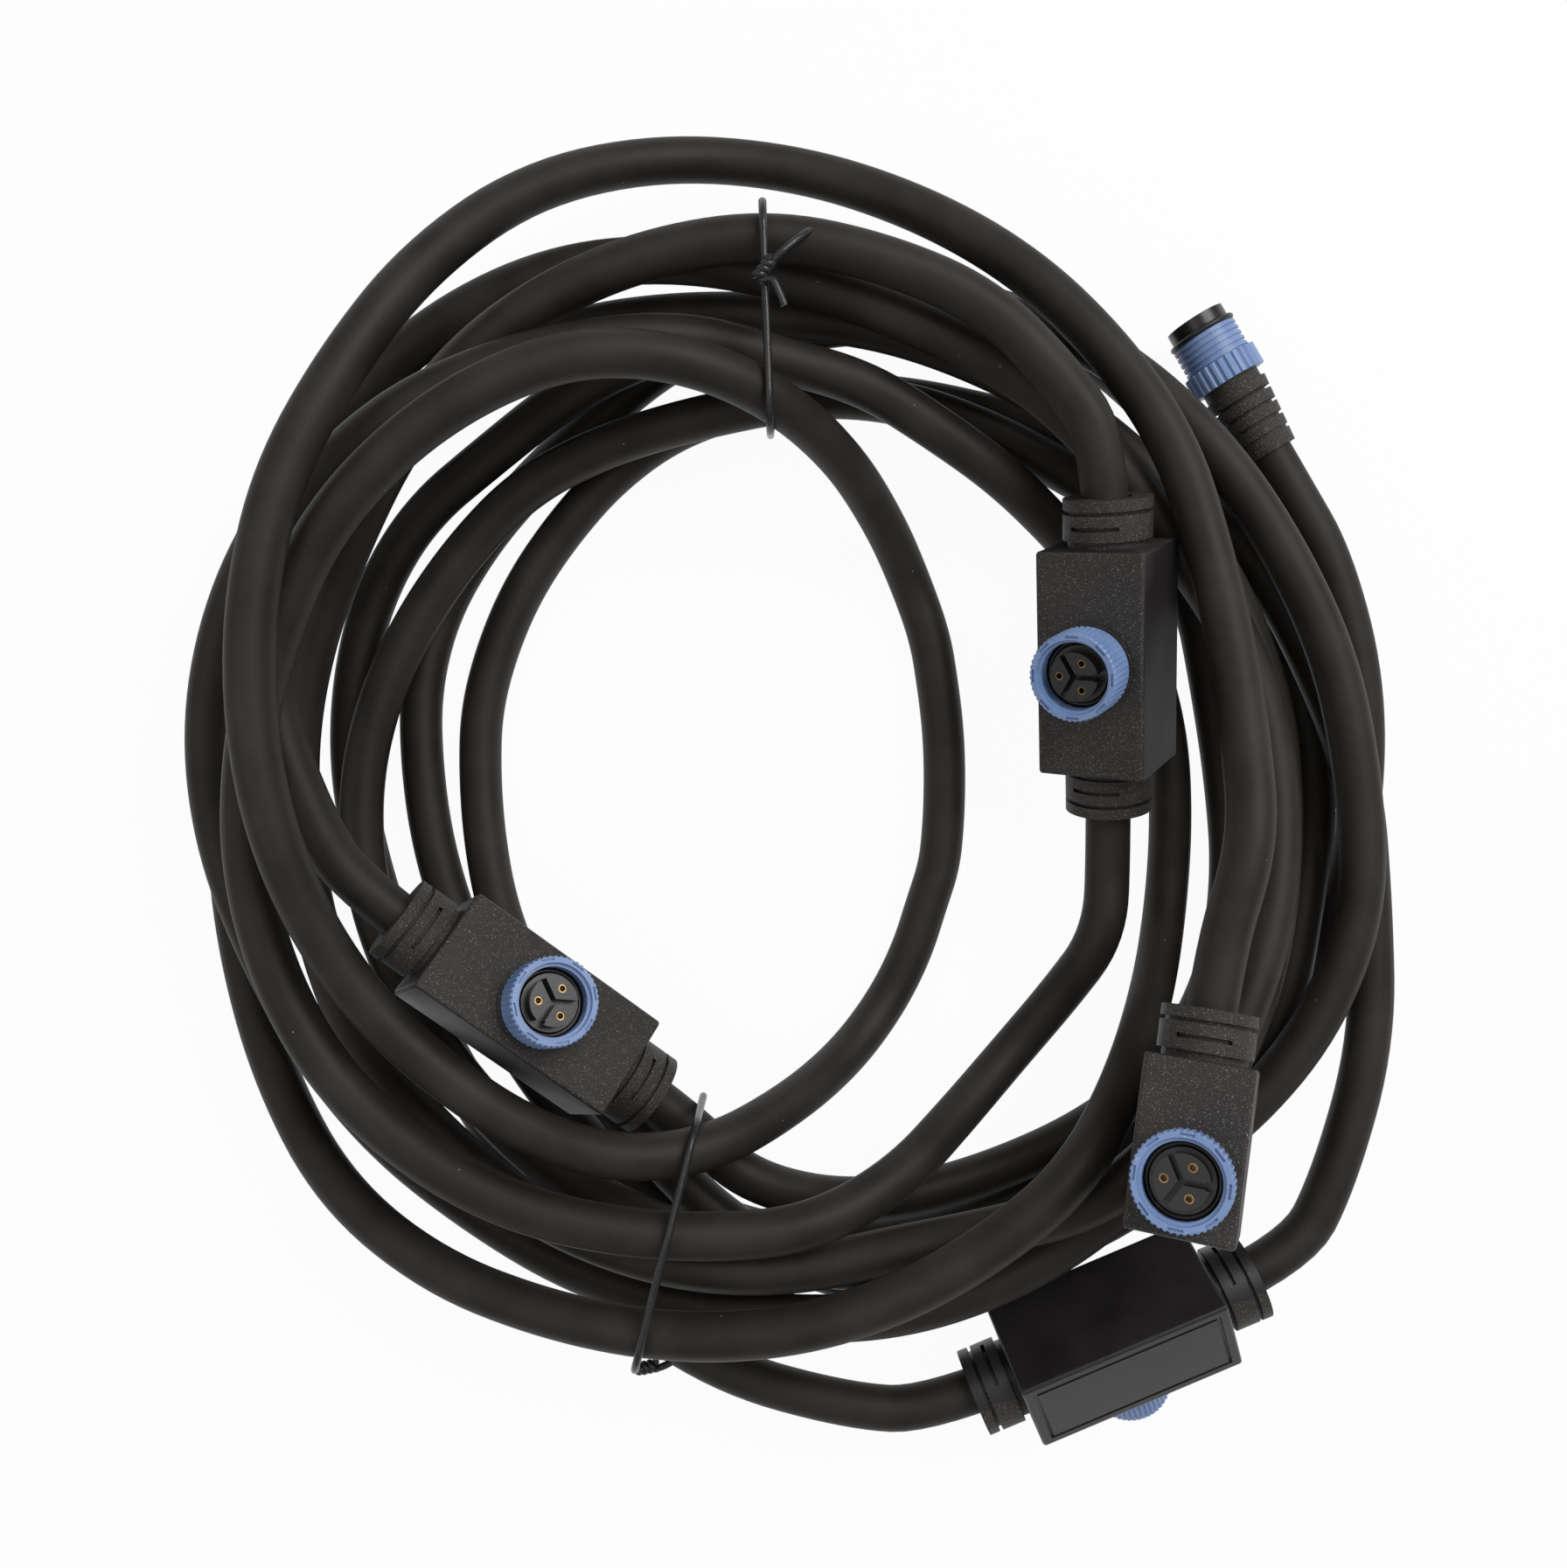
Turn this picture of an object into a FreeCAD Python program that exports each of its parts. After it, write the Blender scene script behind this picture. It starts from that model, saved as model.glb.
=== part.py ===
"""Coiled trunk power cable with four moulded sockets and one plug, lying as a loose heap on a flat surface.

Units are millimetres. +Z is up, X runs to the right and Y up in a view from above.
The origin is on the surface, under the middle of the whole part.
"""
import FreeCAD, Part
import math
import os

V = FreeCAD.Vector

# Cable
CABLE_DIAMETER = 9.5
CABLE_RADIUS = CABLE_DIAMETER / 2
REST_FLAT = 0.5
STRAND_GAP = 1.0
SAMPLES_PER_TURN = 120
SAMPLES_PER_POINT = 4
SMOOTH_SAMPLES = 5
ARC_SHARE = 0.45
HEAP_ROUNDS = 12
GAP_STEP = 2.0
END_LEAD = 10.0
END_SETBACK = 9.0

# The coil's middle, from the origin
COIL_MIDDLE = V(-2.3, 2.05, 0)

# Each cable's route: direction from the coil's middle in degrees, then distance in mm, turn after turn
END_CABLE_TURNS = (
    ((-8, 90), (0, 90), (15, 93), (30, 99), (45, 107), (60, 115), (75, 125), (90, 134),
     (105, 136), (120, 127), (135, 116), (150, 110), (165, 104), (180, 99), (195, 96), (210, 93),
     (225, 89), (240, 85), (250, 81), (260, 76), (270, 70), (280, 65), (290, 59), (300, 53),
     (315, 45), (330, 41), (345, 38)),
    ((0, 37), (15, 38), (30, 41), (45, 47), (60, 55), (70, 62), (80, 69), (90, 75), (100, 81), (110, 87),
     (120, 92), (130, 95), (140, 98), (150, 101), (160, 103), (170, 104), (180, 106), (190, 108),
     (200, 109), (210, 109), (220, 107), (230, 103), (240, 100), (250, 96), (260, 93), (270, 91),
     (280, 88), (290, 84), (300, 81), (315, 78), (334, 76)),
)
FIRST_CABLE_TURNS = (
    ((55, 97), (62, 101), (70, 103), (80, 105), (90, 107), (100, 107), (110, 107), (120, 107),
     (135, 107), (150, 106), (165, 107), (180, 108), (195, 108), (210, 107), (225, 104), (240, 103),
     (255, 102), (265, 102), (280, 99), (290, 99), (300, 103), (312, 107), (325, 105), (335, 104),
     (350, 104)),
    ((0, 103), (10, 102), (18, 100), (31, 96), (40, 95), (50, 96), (60, 96), (70, 97), (80, 99),
     (90, 103), (100, 108), (110, 114), (120, 119), (130, 122), (140, 124), (150, 125), (165, 128),
     (175, 128), (185, 126), (195, 123), (205, 121), (215, 120), (230, 117), (245, 115), (260, 113),
     (270, 112), (280, 113), (290, 113), (300, 113), (310, 112), (320, 111), (335, 111), (345, 110)),
    ((0, 109), (12, 107), (28, 104), (45, 102), (60, 99), (75, 98), (90, 98), (104, 101), (115, 105),
     (135, 115), (150, 120), (165, 123), (180, 126), (190, 128), (200, 130), (210, 131), (220, 131),
     (230, 127), (240, 122), (250, 117), (260, 113), (270, 109), (280, 105), (290, 101), (300, 98),
     (310, 95), (320, 94), (330, 93), (340, 92), (350, 90)),
    ((0, 88), (10, 88), (25, 86), (45, 81), (60, 80), (70, 82), (80, 85), (90, 87), (100, 91),
     (110, 94), (120, 97), (130, 102), (140, 107), (150, 111), (160, 111), (170, 106), (178, 101),
     (186, 95)),
)
SECOND_CABLE_TURNS = (
    ((264, 85), (270, 89), (280, 94), (295, 99), (305, 102), (315, 105), (329, 108), (345, 105)),
    ((0, 101), (12, 100), (24, 101), (36, 98), (48, 92), (62, 88), (75, 86), (90, 83), (100, 81),
     (115, 82), (130, 85), (150, 87), (165, 90), (180, 93), (195, 95), (210, 96), (225, 97), (240, 98),
     (255, 99), (270, 102), (285, 108), (300, 113), (315, 118), (330, 124), (345, 126)),
    ((0, 122), (15, 119), (30, 116), (45, 116), (60, 115), (72, 108), (82, 101), (92, 98), (100, 98),
     (115, 97), (130, 96), (140, 99), (150, 101), (160, 101), (175, 99), (195, 96), (210, 97),
     (225, 101), (240, 111), (250, 120), (260, 128), (268, 133), (276, 137)),
)
PLUG_CABLE_TURNS = (
    ((324, 148), (331, 144), (340, 137), (350, 130)),
    ((0, 126), (15, 118), (30, 113), (45, 104), (60, 95), (75, 90), (90, 86), (100, 84), (110, 82),
     (120, 79), (130, 76), (140, 74), (150, 72), (160, 71), (170, 70), (180, 69), (190, 69), (200, 70),
     (210, 72), (225, 75), (240, 80), (255, 90), (270, 105), (285, 115), (300, 120), (315, 124),
     (330, 123), (345, 119)),
    ((0, 120), (15, 119), (28, 118), (38, 119), (50, 120), (60, 119), (75, 114), (90, 106), (105, 98),
     (120, 91), (135, 88), (150, 87), (160, 86), (170, 84), (180, 82), (195, 81), (210, 82), (225, 86),
     (240, 92), (255, 98), (270, 104), (285, 108), (300, 110), (315, 113), (330, 119), (345, 129)),
    ((0, 132), (12, 133), (22, 133)),
)
# Which strand lies on which: a cable's turns lie on the turns after them, from this level down.
# A lifted stretch of a cable, from its start and to its end in degrees, gets a level of its own.
LEVELS = {"end": 50.0, "first": 30.0, "second": 20.0, "plug": 10.0}
LIFTED = (("first", 950, 1032, 35.0), ("first", 1152, 1290, 34.0))

# A stretch that passes over a box: its middle stays at least this high
RAISED = (("end", 205, 250, 46.0),)

# Ties: bare wire of a twist tie, and the direction where each goes round the coil
TIE_DIAMETER = 1.6
TIE_DIRECTIONS = {"tie_top": 92.0, "tie_bottom": 256.0}
TIE_REACH = {"tie_top": 127.0, "tie_bottom": 145.0}
TIE_CLEARANCE = 1.3
TIE_LIFT_HALF_WIDTH = 8.0

# Moulded socket boxes
BOX_LENGTH = 46.6
BOX_WIDTH = 22.5
BOX_DEPTH = 22.5
END_BOX_LENGTH = 32.1
END_BOX_WIDTH = 20.0
END_BOX_SHIFT = 5.2
BOX_EDGE = 0.8
COLLAR_RADIUS = 9.0
COLLAR_LENGTH = 9.6
COLLAR_NECK = 1.4
COLLAR_NECK_RADIUS = 8.0
COLLAR_GROOVE = 0.8
COLLAR_GROOVE_DEPTH = 1.0
COLLAR_BANDS = 3
CABLE_CLEARANCE = 0.05
COLLAR_SLOT_WIDTH = 10.0
POCKET_MARGIN = 7.0
POCKET_WIDTH = 13.0
POCKET_DEPTH = 11.0
PANEL_MARGIN = 2.2
PANEL_LINE = 0.8
PANEL_LINE_DEPTH = 0.4

# Socket: heights are above the box's face
BASE_RADIUS = 9.3
BASE_HEIGHT = 0.7
NECK_RADIUS = 6.3
NECK_HEIGHT = 2.6
NECK_BORE = 4.6
FLANGE_RADIUS = 7.3
FLANGE_HEIGHT = 1.2
INSERT_RADIUS = 5.8
INSERT_FLOOR = 5.4
INSERT_TOP = 8.6
SEGMENT_RADIUS = 4.9
SEGMENT_GAP = 1.1
INSERT_KEY_WIDTH = 1.6
CONTACT_CIRCLE = 3.1
CONTACT_RADIUS = 0.85
CONTACT_BORE = 0.6
CONTACT_BORE_DEPTH = 6.0
CONTACT_TOP = 8.3
CONTACT_TAIL = 4.0
SEAL_WIRE_RADIUS = 0.6
SEAL_CLEARANCE = 0.02

# Coupling nut
NUT_RADIUS = 9.0
NUT_START = 1.0
NUT_TOP = 9.5
NUT_LIP = 1.3
NUT_CLEARANCE = 0.3
NUT_THREAD_DEPTH = 0.65
NUT_THREAD_PITCH = 1.2
NUT_THREAD_COUNT = 3
KNURL_COUNT = 48
KNURL_DEPTH = 0.35
KNURL_START = 1.2
NUT_CHAMFER = 0.35
NUT_SLOTS = 8
NUT_SLOT_LENGTH = 2.6
NUT_SLOT_WIDTH = 0.45
NUT_SLOT_DEPTH = 0.5
NUT_SLOT_RADIUS = 8.15

# Plug: lengths run from its rim back to the cable
SLEEVE_RADIUS = 6.6
SLEEVE_LAND = 2.6
SLEEVE_ROOT_RADIUS = 6.4
SLEEVE_BORE = 5.95
SLEEVE_FLOOR = 9.0
THREAD_START = 4.0
THREAD_LENGTH = 7.0
THREAD_RADIUS = 7.35
THREAD_ROOT = 6.95
THREAD_TURNS = 5
COLLAR_RING_RADIUS = 8.3
COLLAR_RING_LENGTH = 5.0
COLLAR_RING_TEETH = 28
PLUG_NECK_RADIUS = 6.4
PLUG_NECK_LENGTH = 2.4
GRIP_RADIUS = 7.2
GRIP_END_RADIUS = 5.9
GRIP_LENGTH = 16.0
GRIP_GROOVES = 4
PIN_RADIUS = 0.55
PIN_FREE = 7.0
PIN_TAIL = 6.0
PLUG_SEAL_GAP = 0.02

# Where the boxes and the plug lie: middle of each, seen from above and from the coil's middle,
# the turn of its long axis, how far that axis climbs, and how far the socket leans over to its left
TEE_PLACES = {
    "tee_right": {"middle": V(67.8, 25.2, 33.8), "turn": 94.0, "climb": 16.5, "lean": 33.0},
    "tee_left": {"middle": V(-53.3, -48.0, 33.4), "turn": -38.2, "climb": -13.5, "lean": 25.0},
    "tee_low": {"middle": V(71.9, -121.0, 20.4), "turn": 22.9, "climb": 0.0, "lean": -125.0},
    "end_box": {"middle": V(76.3, -74.5, 63.4), "turn": 80.2, "climb": -8.0, "lean": 21.0},
}
PLUG_RIM = V(93.0, 103.3, 8.8)
PLUG_TURN = 120.0


def unrolled(turns):
    """One cable's turns as a single list whose directions keep growing."""
    return [(direction + 360 * count, distance) for count, turn in enumerate(turns)
            for direction, distance in turn]


def smooth_distance(points, direction):
    """Distance at any direction, on a smooth curve through a cable's list."""
    last = len(points) - 2
    place = 0
    while place < last and direction >= points[place + 1][0]:
        place += 1

    def slope(index):
        low = max(index - 1, 0)
        high = min(index + 1, len(points) - 1)
        return (points[high][1] - points[low][1]) / (points[high][0] - points[low][0])

    span = points[place + 1][0] - points[place][0]
    t = (direction - points[place][0]) / span
    start, end = points[place][1], points[place + 1][1]
    return ((2 * t ** 3 - 3 * t ** 2 + 1) * start + (t ** 3 - 2 * t ** 2 + t) * span * slope(place)
            + (3 * t ** 2 - 2 * t ** 3) * end + (t ** 3 - t ** 2) * span * slope(place + 1))


def level_of(name, start, direction):
    """Level in the heap: it falls by one for each turn of a cable, apart from the lifted stretches."""
    for lifted, low, high, level in LIFTED:
        if lifted == name and low <= direction <= high:
            return level - (direction - low) / 3600
    return LEVELS[name] - (direction - start) / 360


def floor_height(name, direction):
    """Least height of a strand's middle: on the surface, on a tie's wire, or over a box."""
    height = CABLE_RADIUS - REST_FLAT
    for tie in TIE_DIRECTIONS.values():
        away = abs((direction - tie + 180) % 360 - 180)
        if away < TIE_LIFT_HALF_WIDTH:
            height = CABLE_RADIUS + TIE_DIAMETER + TIE_CLEARANCE
    for raised, low, high, least in RAISED:
        if raised == name and low <= direction <= high:
            height = least
    return height


def spread(values, width):
    """Moving highest value, then moving mean, over the same width: smooth, and never too low."""
    count = len(values)
    tops = [max(values[max(0, i - width):i + width + 1]) for i in range(count)]
    padded = [tops[0]] * width + tops + [tops[-1]] * width
    return [sum(padded[i:i + 2 * width + 1]) / (2 * width + 1) for i in range(count)]


def lay_heap(cables, end_heights):
    """Heights of every cable's samples, so that each strand lies on those below it."""
    samples = []
    for name, points in cables.items():
        start, end = points[0][0], points[-1][0]
        blocks = round((end - start) / 360 * SAMPLES_PER_TURN / SAMPLES_PER_POINT)
        count = blocks * SAMPLES_PER_POINT
        for index in range(count + 1):
            direction = start + (end - start) * index / count
            distance = smooth_distance(points, direction)
            angle = math.radians(direction)
            samples.append({"cable": name, "direction": direction, "level": level_of(name, start, direction),
                            "x": distance * math.cos(angle), "y": distance * math.sin(angle),
                            "z": floor_height(name, direction), "needs": []})
    reach = CABLE_DIAMETER + STRAND_GAP
    cells = {}
    for sample in samples:
        cells.setdefault((int(sample["x"] // reach), int(sample["y"] // reach)), []).append(sample)
    for sample in samples:
        column, row = int(sample["x"] // reach), int(sample["y"] // reach)
        for i in (column - 1, column, column + 1):
            for j in (row - 1, row, row + 1):
                for other in cells.get((i, j), []):
                    apart = math.hypot(sample["x"] - other["x"], sample["y"] - other["y"])
                    same = (sample["cable"] == other["cable"]
                            and abs(sample["direction"] - other["direction"]) < 60)
                    if not same and apart < reach and other["level"] < sample["level"]:
                        sample["needs"].append((other, math.sqrt(reach ** 2 - apart ** 2)))
    strands = {name: [s for s in samples if s["cable"] == name] for name in cables}
    for _ in range(HEAP_ROUNDS):
        raised = {}
        for name, strand in strands.items():
            needed = [max([floor_height(name, s["direction"])] + [o["z"] + rise for o, rise in s["needs"]])
                      for s in strand]
            first, last = end_heights[name]
            needed[0] = max(needed[0], first)
            needed[-1] = max(needed[-1], last)
            raised[name] = spread(needed, SMOOTH_SAMPLES)
        for name, strand in strands.items():
            for sample, height in zip(strand, raised[name]):
                sample["z"] = height
    return strands


def box_frame(place):
    """A box's own directions: along it, across it towards its panel, and out of its socket."""
    turn = math.radians(place["turn"])
    climb = math.radians(place["climb"])
    lean = math.radians(place["lean"])
    along = V(math.cos(turn) * math.cos(climb), math.sin(turn) * math.cos(climb), math.sin(climb))
    left = V(-math.sin(turn), math.cos(turn), 0)
    up = along.cross(left)
    out = up * math.cos(lean) + left * math.sin(lean)
    return along, out.cross(along), out


def box_placement(place):
    """Placement that puts a box made along X with its socket up at its real place."""
    along, across, out = box_frame(place)
    return FreeCAD.Placement(COIL_MIDDLE + place["middle"], FreeCAD.Rotation(along, across, out, "ZXY"))


def cylinder(radius, start, end, axis=V(0, 0, 1), centre=V(0, 0, 0)):
    """Cylinder between two distances along an axis."""
    return Part.makeCylinder(radius, end - start, centre + axis * start, axis)


def ring(outer, inner, start, end):
    """Tube on the Z axis."""
    return cylinder(outer, start, end).cut(cylinder(inner, start, end))


def rounded_box(length, width, depth, edge):
    """Box about the origin with all edges rounded."""
    solid = Part.makeBox(length, width, depth, V(-length / 2, -width / 2, -depth / 2))
    return solid.makeFillet(edge, solid.Edges)


def box_size(name):
    """Length and width of a box, and how far its middle lies from its socket's axis."""
    if name == "end_box":
        return END_BOX_LENGTH, END_BOX_WIDTH, END_BOX_SHIFT
    return BOX_LENGTH, BOX_WIDTH, 0.0


def collar(side, end):
    """Collar that holds the cable, from one end of a box: a neck, then bands with grooves between them.

    The groove nearest the box is only two slots, on the socket's side and opposite.
    """
    band = (COLLAR_LENGTH - COLLAR_NECK - COLLAR_GROOVE * (COLLAR_BANDS - 1)) / COLLAR_BANDS
    axis = V(side, 0, 0)
    start = V(end, 0, 0)
    solid = cylinder(COLLAR_NECK_RADIUS, 0, COLLAR_NECK, axis, start)
    solid = solid.fuse(cylinder(COLLAR_RADIUS, COLLAR_NECK, COLLAR_LENGTH, axis, start))
    for index in range(1, COLLAR_BANDS):
        low = COLLAR_NECK + index * band + (index - 1) * COLLAR_GROOVE
        high = low + COLLAR_GROOVE
        groove = cylinder(COLLAR_RADIUS + 1, low, high, axis, start)
        groove = groove.cut(cylinder(COLLAR_RADIUS - COLLAR_GROOVE_DEPTH, low, high, axis, start))
        if index == 1:
            corner = V(end - COLLAR_LENGTH, -COLLAR_SLOT_WIDTH / 2, -2 * COLLAR_RADIUS)
            groove = groove.common(Part.makeBox(2 * COLLAR_LENGTH, COLLAR_SLOT_WIDTH, 4 * COLLAR_RADIUS, corner))
        solid = solid.cut(groove)
    return solid


def tee_body(length, width, shift, sides):
    """Moulded box with its collars, socket base and neck, inner pocket and cable bores."""
    body = rounded_box(length, width, BOX_DEPTH, BOX_EDGE)
    body.translate(V(shift, 0, 0))
    face = BOX_DEPTH / 2
    body = body.fuse([collar(side, shift + side * length / 2) for side in sides]
                     + [cylinder(BASE_RADIUS, face - 1, face + BASE_HEIGHT),
                        cylinder(NECK_RADIUS, face - 1, face + NECK_HEIGHT)])
    pocket_half = length / 2 - POCKET_MARGIN
    body = body.cut(Part.makeBox(2 * pocket_half, POCKET_WIDTH, POCKET_DEPTH,
                                 V(shift - pocket_half, -POCKET_WIDTH / 2, -POCKET_DEPTH / 2)))
    body = body.cut(cylinder(NECK_BORE, 0, face + NECK_HEIGHT))
    for side in sides:
        body = body.cut(cylinder(CABLE_RADIUS + CABLE_CLEARANCE, 0, length / 2 + COLLAR_LENGTH,
                                 V(side, 0, 0), V(shift, 0, 0)))
    panel_length = length - 2 * PANEL_MARGIN
    panel_depth = BOX_DEPTH - 2 * PANEL_MARGIN
    frame = Part.makeBox(panel_length, PANEL_LINE_DEPTH, panel_depth,
                         V(shift - panel_length / 2, width / 2 - PANEL_LINE_DEPTH, -panel_depth / 2))
    inner = Part.makeBox(panel_length - 2 * PANEL_LINE, PANEL_LINE_DEPTH, panel_depth - 2 * PANEL_LINE,
                         V(shift - panel_length / 2 + PANEL_LINE, width / 2 - PANEL_LINE_DEPTH,
                           -panel_depth / 2 + PANEL_LINE))
    return body.cut(frame.cut(inner))


def contact_spots():
    """The three contacts' places round the socket's axis."""
    return [V(CONTACT_CIRCLE * math.cos(math.radians(90 + 120 * k)),
              CONTACT_CIRCLE * math.sin(math.radians(90 + 120 * k)), 0) for k in range(3)]


def tee_carrier(length, shift):
    """Block in the box's pocket that joins the cables' cores to the contacts."""
    half = length / 2 - POCKET_MARGIN
    block = Part.makeBox(2 * half, POCKET_WIDTH, POCKET_DEPTH,
                         V(shift - half, -POCKET_WIDTH / 2, -POCKET_DEPTH / 2))
    for spot in contact_spots():
        block = block.cut(cylinder(CONTACT_RADIUS, POCKET_DEPTH / 2 - CONTACT_TAIL, POCKET_DEPTH / 2,
                                   centre=spot))
    return block


def tee_insert():
    """Socket insert: stem in the neck, flange that keeps the nut on, and three raised segments."""
    face = BOX_DEPTH / 2
    flange_start = face + NECK_HEIGHT
    insert = cylinder(NECK_BORE, POCKET_DEPTH / 2, flange_start)
    insert = insert.fuse([cylinder(FLANGE_RADIUS, flange_start, flange_start + FLANGE_HEIGHT),
                          cylinder(INSERT_RADIUS, flange_start, face + INSERT_FLOOR)])
    segments = cylinder(SEGMENT_RADIUS, face + INSERT_FLOOR - 0.5, face + INSERT_TOP)
    for k in range(3):
        groove = Part.makeBox(SEGMENT_RADIUS + 1, SEGMENT_GAP, INSERT_TOP - INSERT_FLOOR,
                              V(0, -SEGMENT_GAP / 2, face + INSERT_FLOOR))
        groove.rotate(V(0, 0, 0), V(0, 0, 1), 30 + 120 * k)
        segments = segments.cut(groove)
    key = Part.makeBox(INSERT_KEY_WIDTH, INSERT_KEY_WIDTH, INSERT_TOP - INSERT_FLOOR,
                       V(-INSERT_KEY_WIDTH / 2, -SEGMENT_RADIUS - INSERT_KEY_WIDTH / 2, face + INSERT_FLOOR))
    insert = insert.fuse(segments.cut(key))
    for spot in contact_spots():
        insert = insert.cut(cylinder(CONTACT_RADIUS, 0, face + INSERT_TOP + 1, centre=spot))
    return insert


def tee_contacts():
    """Three brass sockets that run from the carrier to just under the insert's top."""
    face = BOX_DEPTH / 2
    contacts = []
    for spot in contact_spots():
        contact = cylinder(CONTACT_RADIUS, POCKET_DEPTH / 2 - CONTACT_TAIL, face + CONTACT_TOP, centre=spot)
        contacts.append(contact.cut(cylinder(CONTACT_BORE, face + CONTACT_TOP - CONTACT_BORE_DEPTH,
                                             face + CONTACT_TOP, centre=spot)))
    return Part.makeCompound(contacts)


def tee_seal():
    """Rubber ring round the insert, on its flange."""
    height = BOX_DEPTH / 2 + NECK_HEIGHT + FLANGE_HEIGHT + SEAL_WIRE_RADIUS + SEAL_CLEARANCE
    radius = INSERT_RADIUS + SEAL_WIRE_RADIUS + SEAL_CLEARANCE
    return Part.makeTorus(radius, SEAL_WIRE_RADIUS, V(0, 0, height))


def toothed_prism(radius, depth, count, start, end):
    """Prism with fine ribs all round, for fingers."""
    points = []
    for tooth in range(count):
        for share, height in ((0.0, radius - depth), (0.25, radius), (0.6, radius), (0.85, radius - depth)):
            angle = 2 * math.pi * (tooth + share) / count
            points.append(V(height * math.cos(angle), height * math.sin(angle), start))
    points.append(points[0])
    return Part.Face(Part.makePolygon(points)).extrude(V(0, 0, end - start))


def coupling_nut():
    """Ribbed nut that turns on the socket's neck, with an inner lip, thread ridges and face slots."""
    face = BOX_DEPTH / 2
    bore = FLANGE_RADIUS + NUT_CLEARANCE
    lip_bore = NECK_RADIUS + NUT_CLEARANCE
    nut = toothed_prism(NUT_RADIUS, KNURL_DEPTH, KNURL_COUNT, face + NUT_START + KNURL_START, face + NUT_TOP)
    nut = nut.fuse(cylinder(NUT_RADIUS - KNURL_DEPTH, face + NUT_START, face + NUT_START + KNURL_START))
    cone = Part.makeCone(NUT_RADIUS + NUT_TOP - NUT_START - NUT_CHAMFER, NUT_RADIUS - NUT_CHAMFER,
                         NUT_TOP - NUT_START, V(0, 0, face + NUT_START))
    nut = nut.common(cone)
    nut = nut.cut(cylinder(lip_bore, face + NUT_START, face + NUT_START + NUT_LIP))
    nut = nut.cut(cylinder(bore, face + NUT_START + NUT_LIP, face + NUT_TOP))
    ridge = NUT_THREAD_PITCH / 2
    for k in range(NUT_THREAD_COUNT):
        start = face + NUT_TOP - 1.2 - ridge - k * NUT_THREAD_PITCH
        nut = nut.fuse(ring(bore + 0.2, bore - NUT_THREAD_DEPTH, start, start + ridge))
    slots = []
    for k in range(NUT_SLOTS):
        slot = Part.makeBox(NUT_SLOT_WIDTH, NUT_SLOT_LENGTH, NUT_SLOT_DEPTH,
                            V(NUT_SLOT_RADIUS - NUT_SLOT_WIDTH / 2, -NUT_SLOT_LENGTH / 2,
                              face + NUT_TOP - NUT_SLOT_DEPTH))
        slot.rotate(V(0, 0, 0), V(0, 0, 1), 360 * k / NUT_SLOTS)
        slots.append(slot)
    return nut.cut(slots)


def plug_placement():
    """Placement that puts the plug, made along Z with its rim at the top, at its real place."""
    out = V(math.cos(math.radians(PLUG_TURN)), math.sin(math.radians(PLUG_TURN)), 0)
    up = V(0, 0, 1)
    return FreeCAD.Placement(COIL_MIDDLE + PLUG_RIM, FreeCAD.Rotation(up.cross(out), up, out, "ZXY"))


def plug_length():
    """Whole length of the plug, from its rim to the end of its grip."""
    return THREAD_START + THREAD_LENGTH + COLLAR_RING_LENGTH + PLUG_NECK_LENGTH + GRIP_LENGTH


def plug_sleeve():
    """Open cup round the pins, with a wider band at its rim and holes in its floor for the pins."""
    end = THREAD_START + THREAD_LENGTH + COLLAR_RING_LENGTH
    sleeve = cylinder(SLEEVE_ROOT_RADIUS, -end, 0).fuse(cylinder(SLEEVE_RADIUS, -SLEEVE_LAND, 0))
    sleeve = sleeve.cut(cylinder(SLEEVE_BORE, -SLEEVE_FLOOR, 0))
    for spot in contact_spots():
        sleeve = sleeve.cut(cylinder(PIN_RADIUS, -end, -SLEEVE_FLOOR, centre=spot))
    return sleeve


def plug_pins():
    """Three pins, from the grip's core into the cup."""
    end = THREAD_START + THREAD_LENGTH + COLLAR_RING_LENGTH
    return Part.makeCompound([cylinder(PIN_RADIUS, -end, -SLEEVE_FLOOR + PIN_FREE, centre=spot)
                              for spot in contact_spots()])


def plug_thread():
    """Threaded collar with its ribbed ring, round the sleeve."""
    pitch = THREAD_LENGTH / THREAD_TURNS
    solids = [cylinder(THREAD_ROOT, -THREAD_START - THREAD_LENGTH, -THREAD_START)]
    for k in range(THREAD_TURNS):
        start = -THREAD_START - THREAD_LENGTH + k * pitch + pitch / 4
        solids.append(cylinder(THREAD_RADIUS, start, start + pitch / 2))
    ring_end = -THREAD_START - THREAD_LENGTH
    collar_ring = toothed_prism(COLLAR_RING_RADIUS, KNURL_DEPTH * 1.4, COLLAR_RING_TEETH,
                                ring_end - COLLAR_RING_LENGTH, ring_end)
    thread = collar_ring.fuse(solids)
    return thread.cut(cylinder(SLEEVE_ROOT_RADIUS, ring_end - COLLAR_RING_LENGTH, -THREAD_START))


def plug_seal():
    """Rubber ring round the sleeve, ahead of the thread."""
    height = -THREAD_START + SEAL_WIRE_RADIUS + PLUG_SEAL_GAP
    radius = SLEEVE_ROOT_RADIUS + SEAL_WIRE_RADIUS + PLUG_SEAL_GAP
    return Part.makeTorus(radius, SEAL_WIRE_RADIUS, V(0, 0, height))


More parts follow.
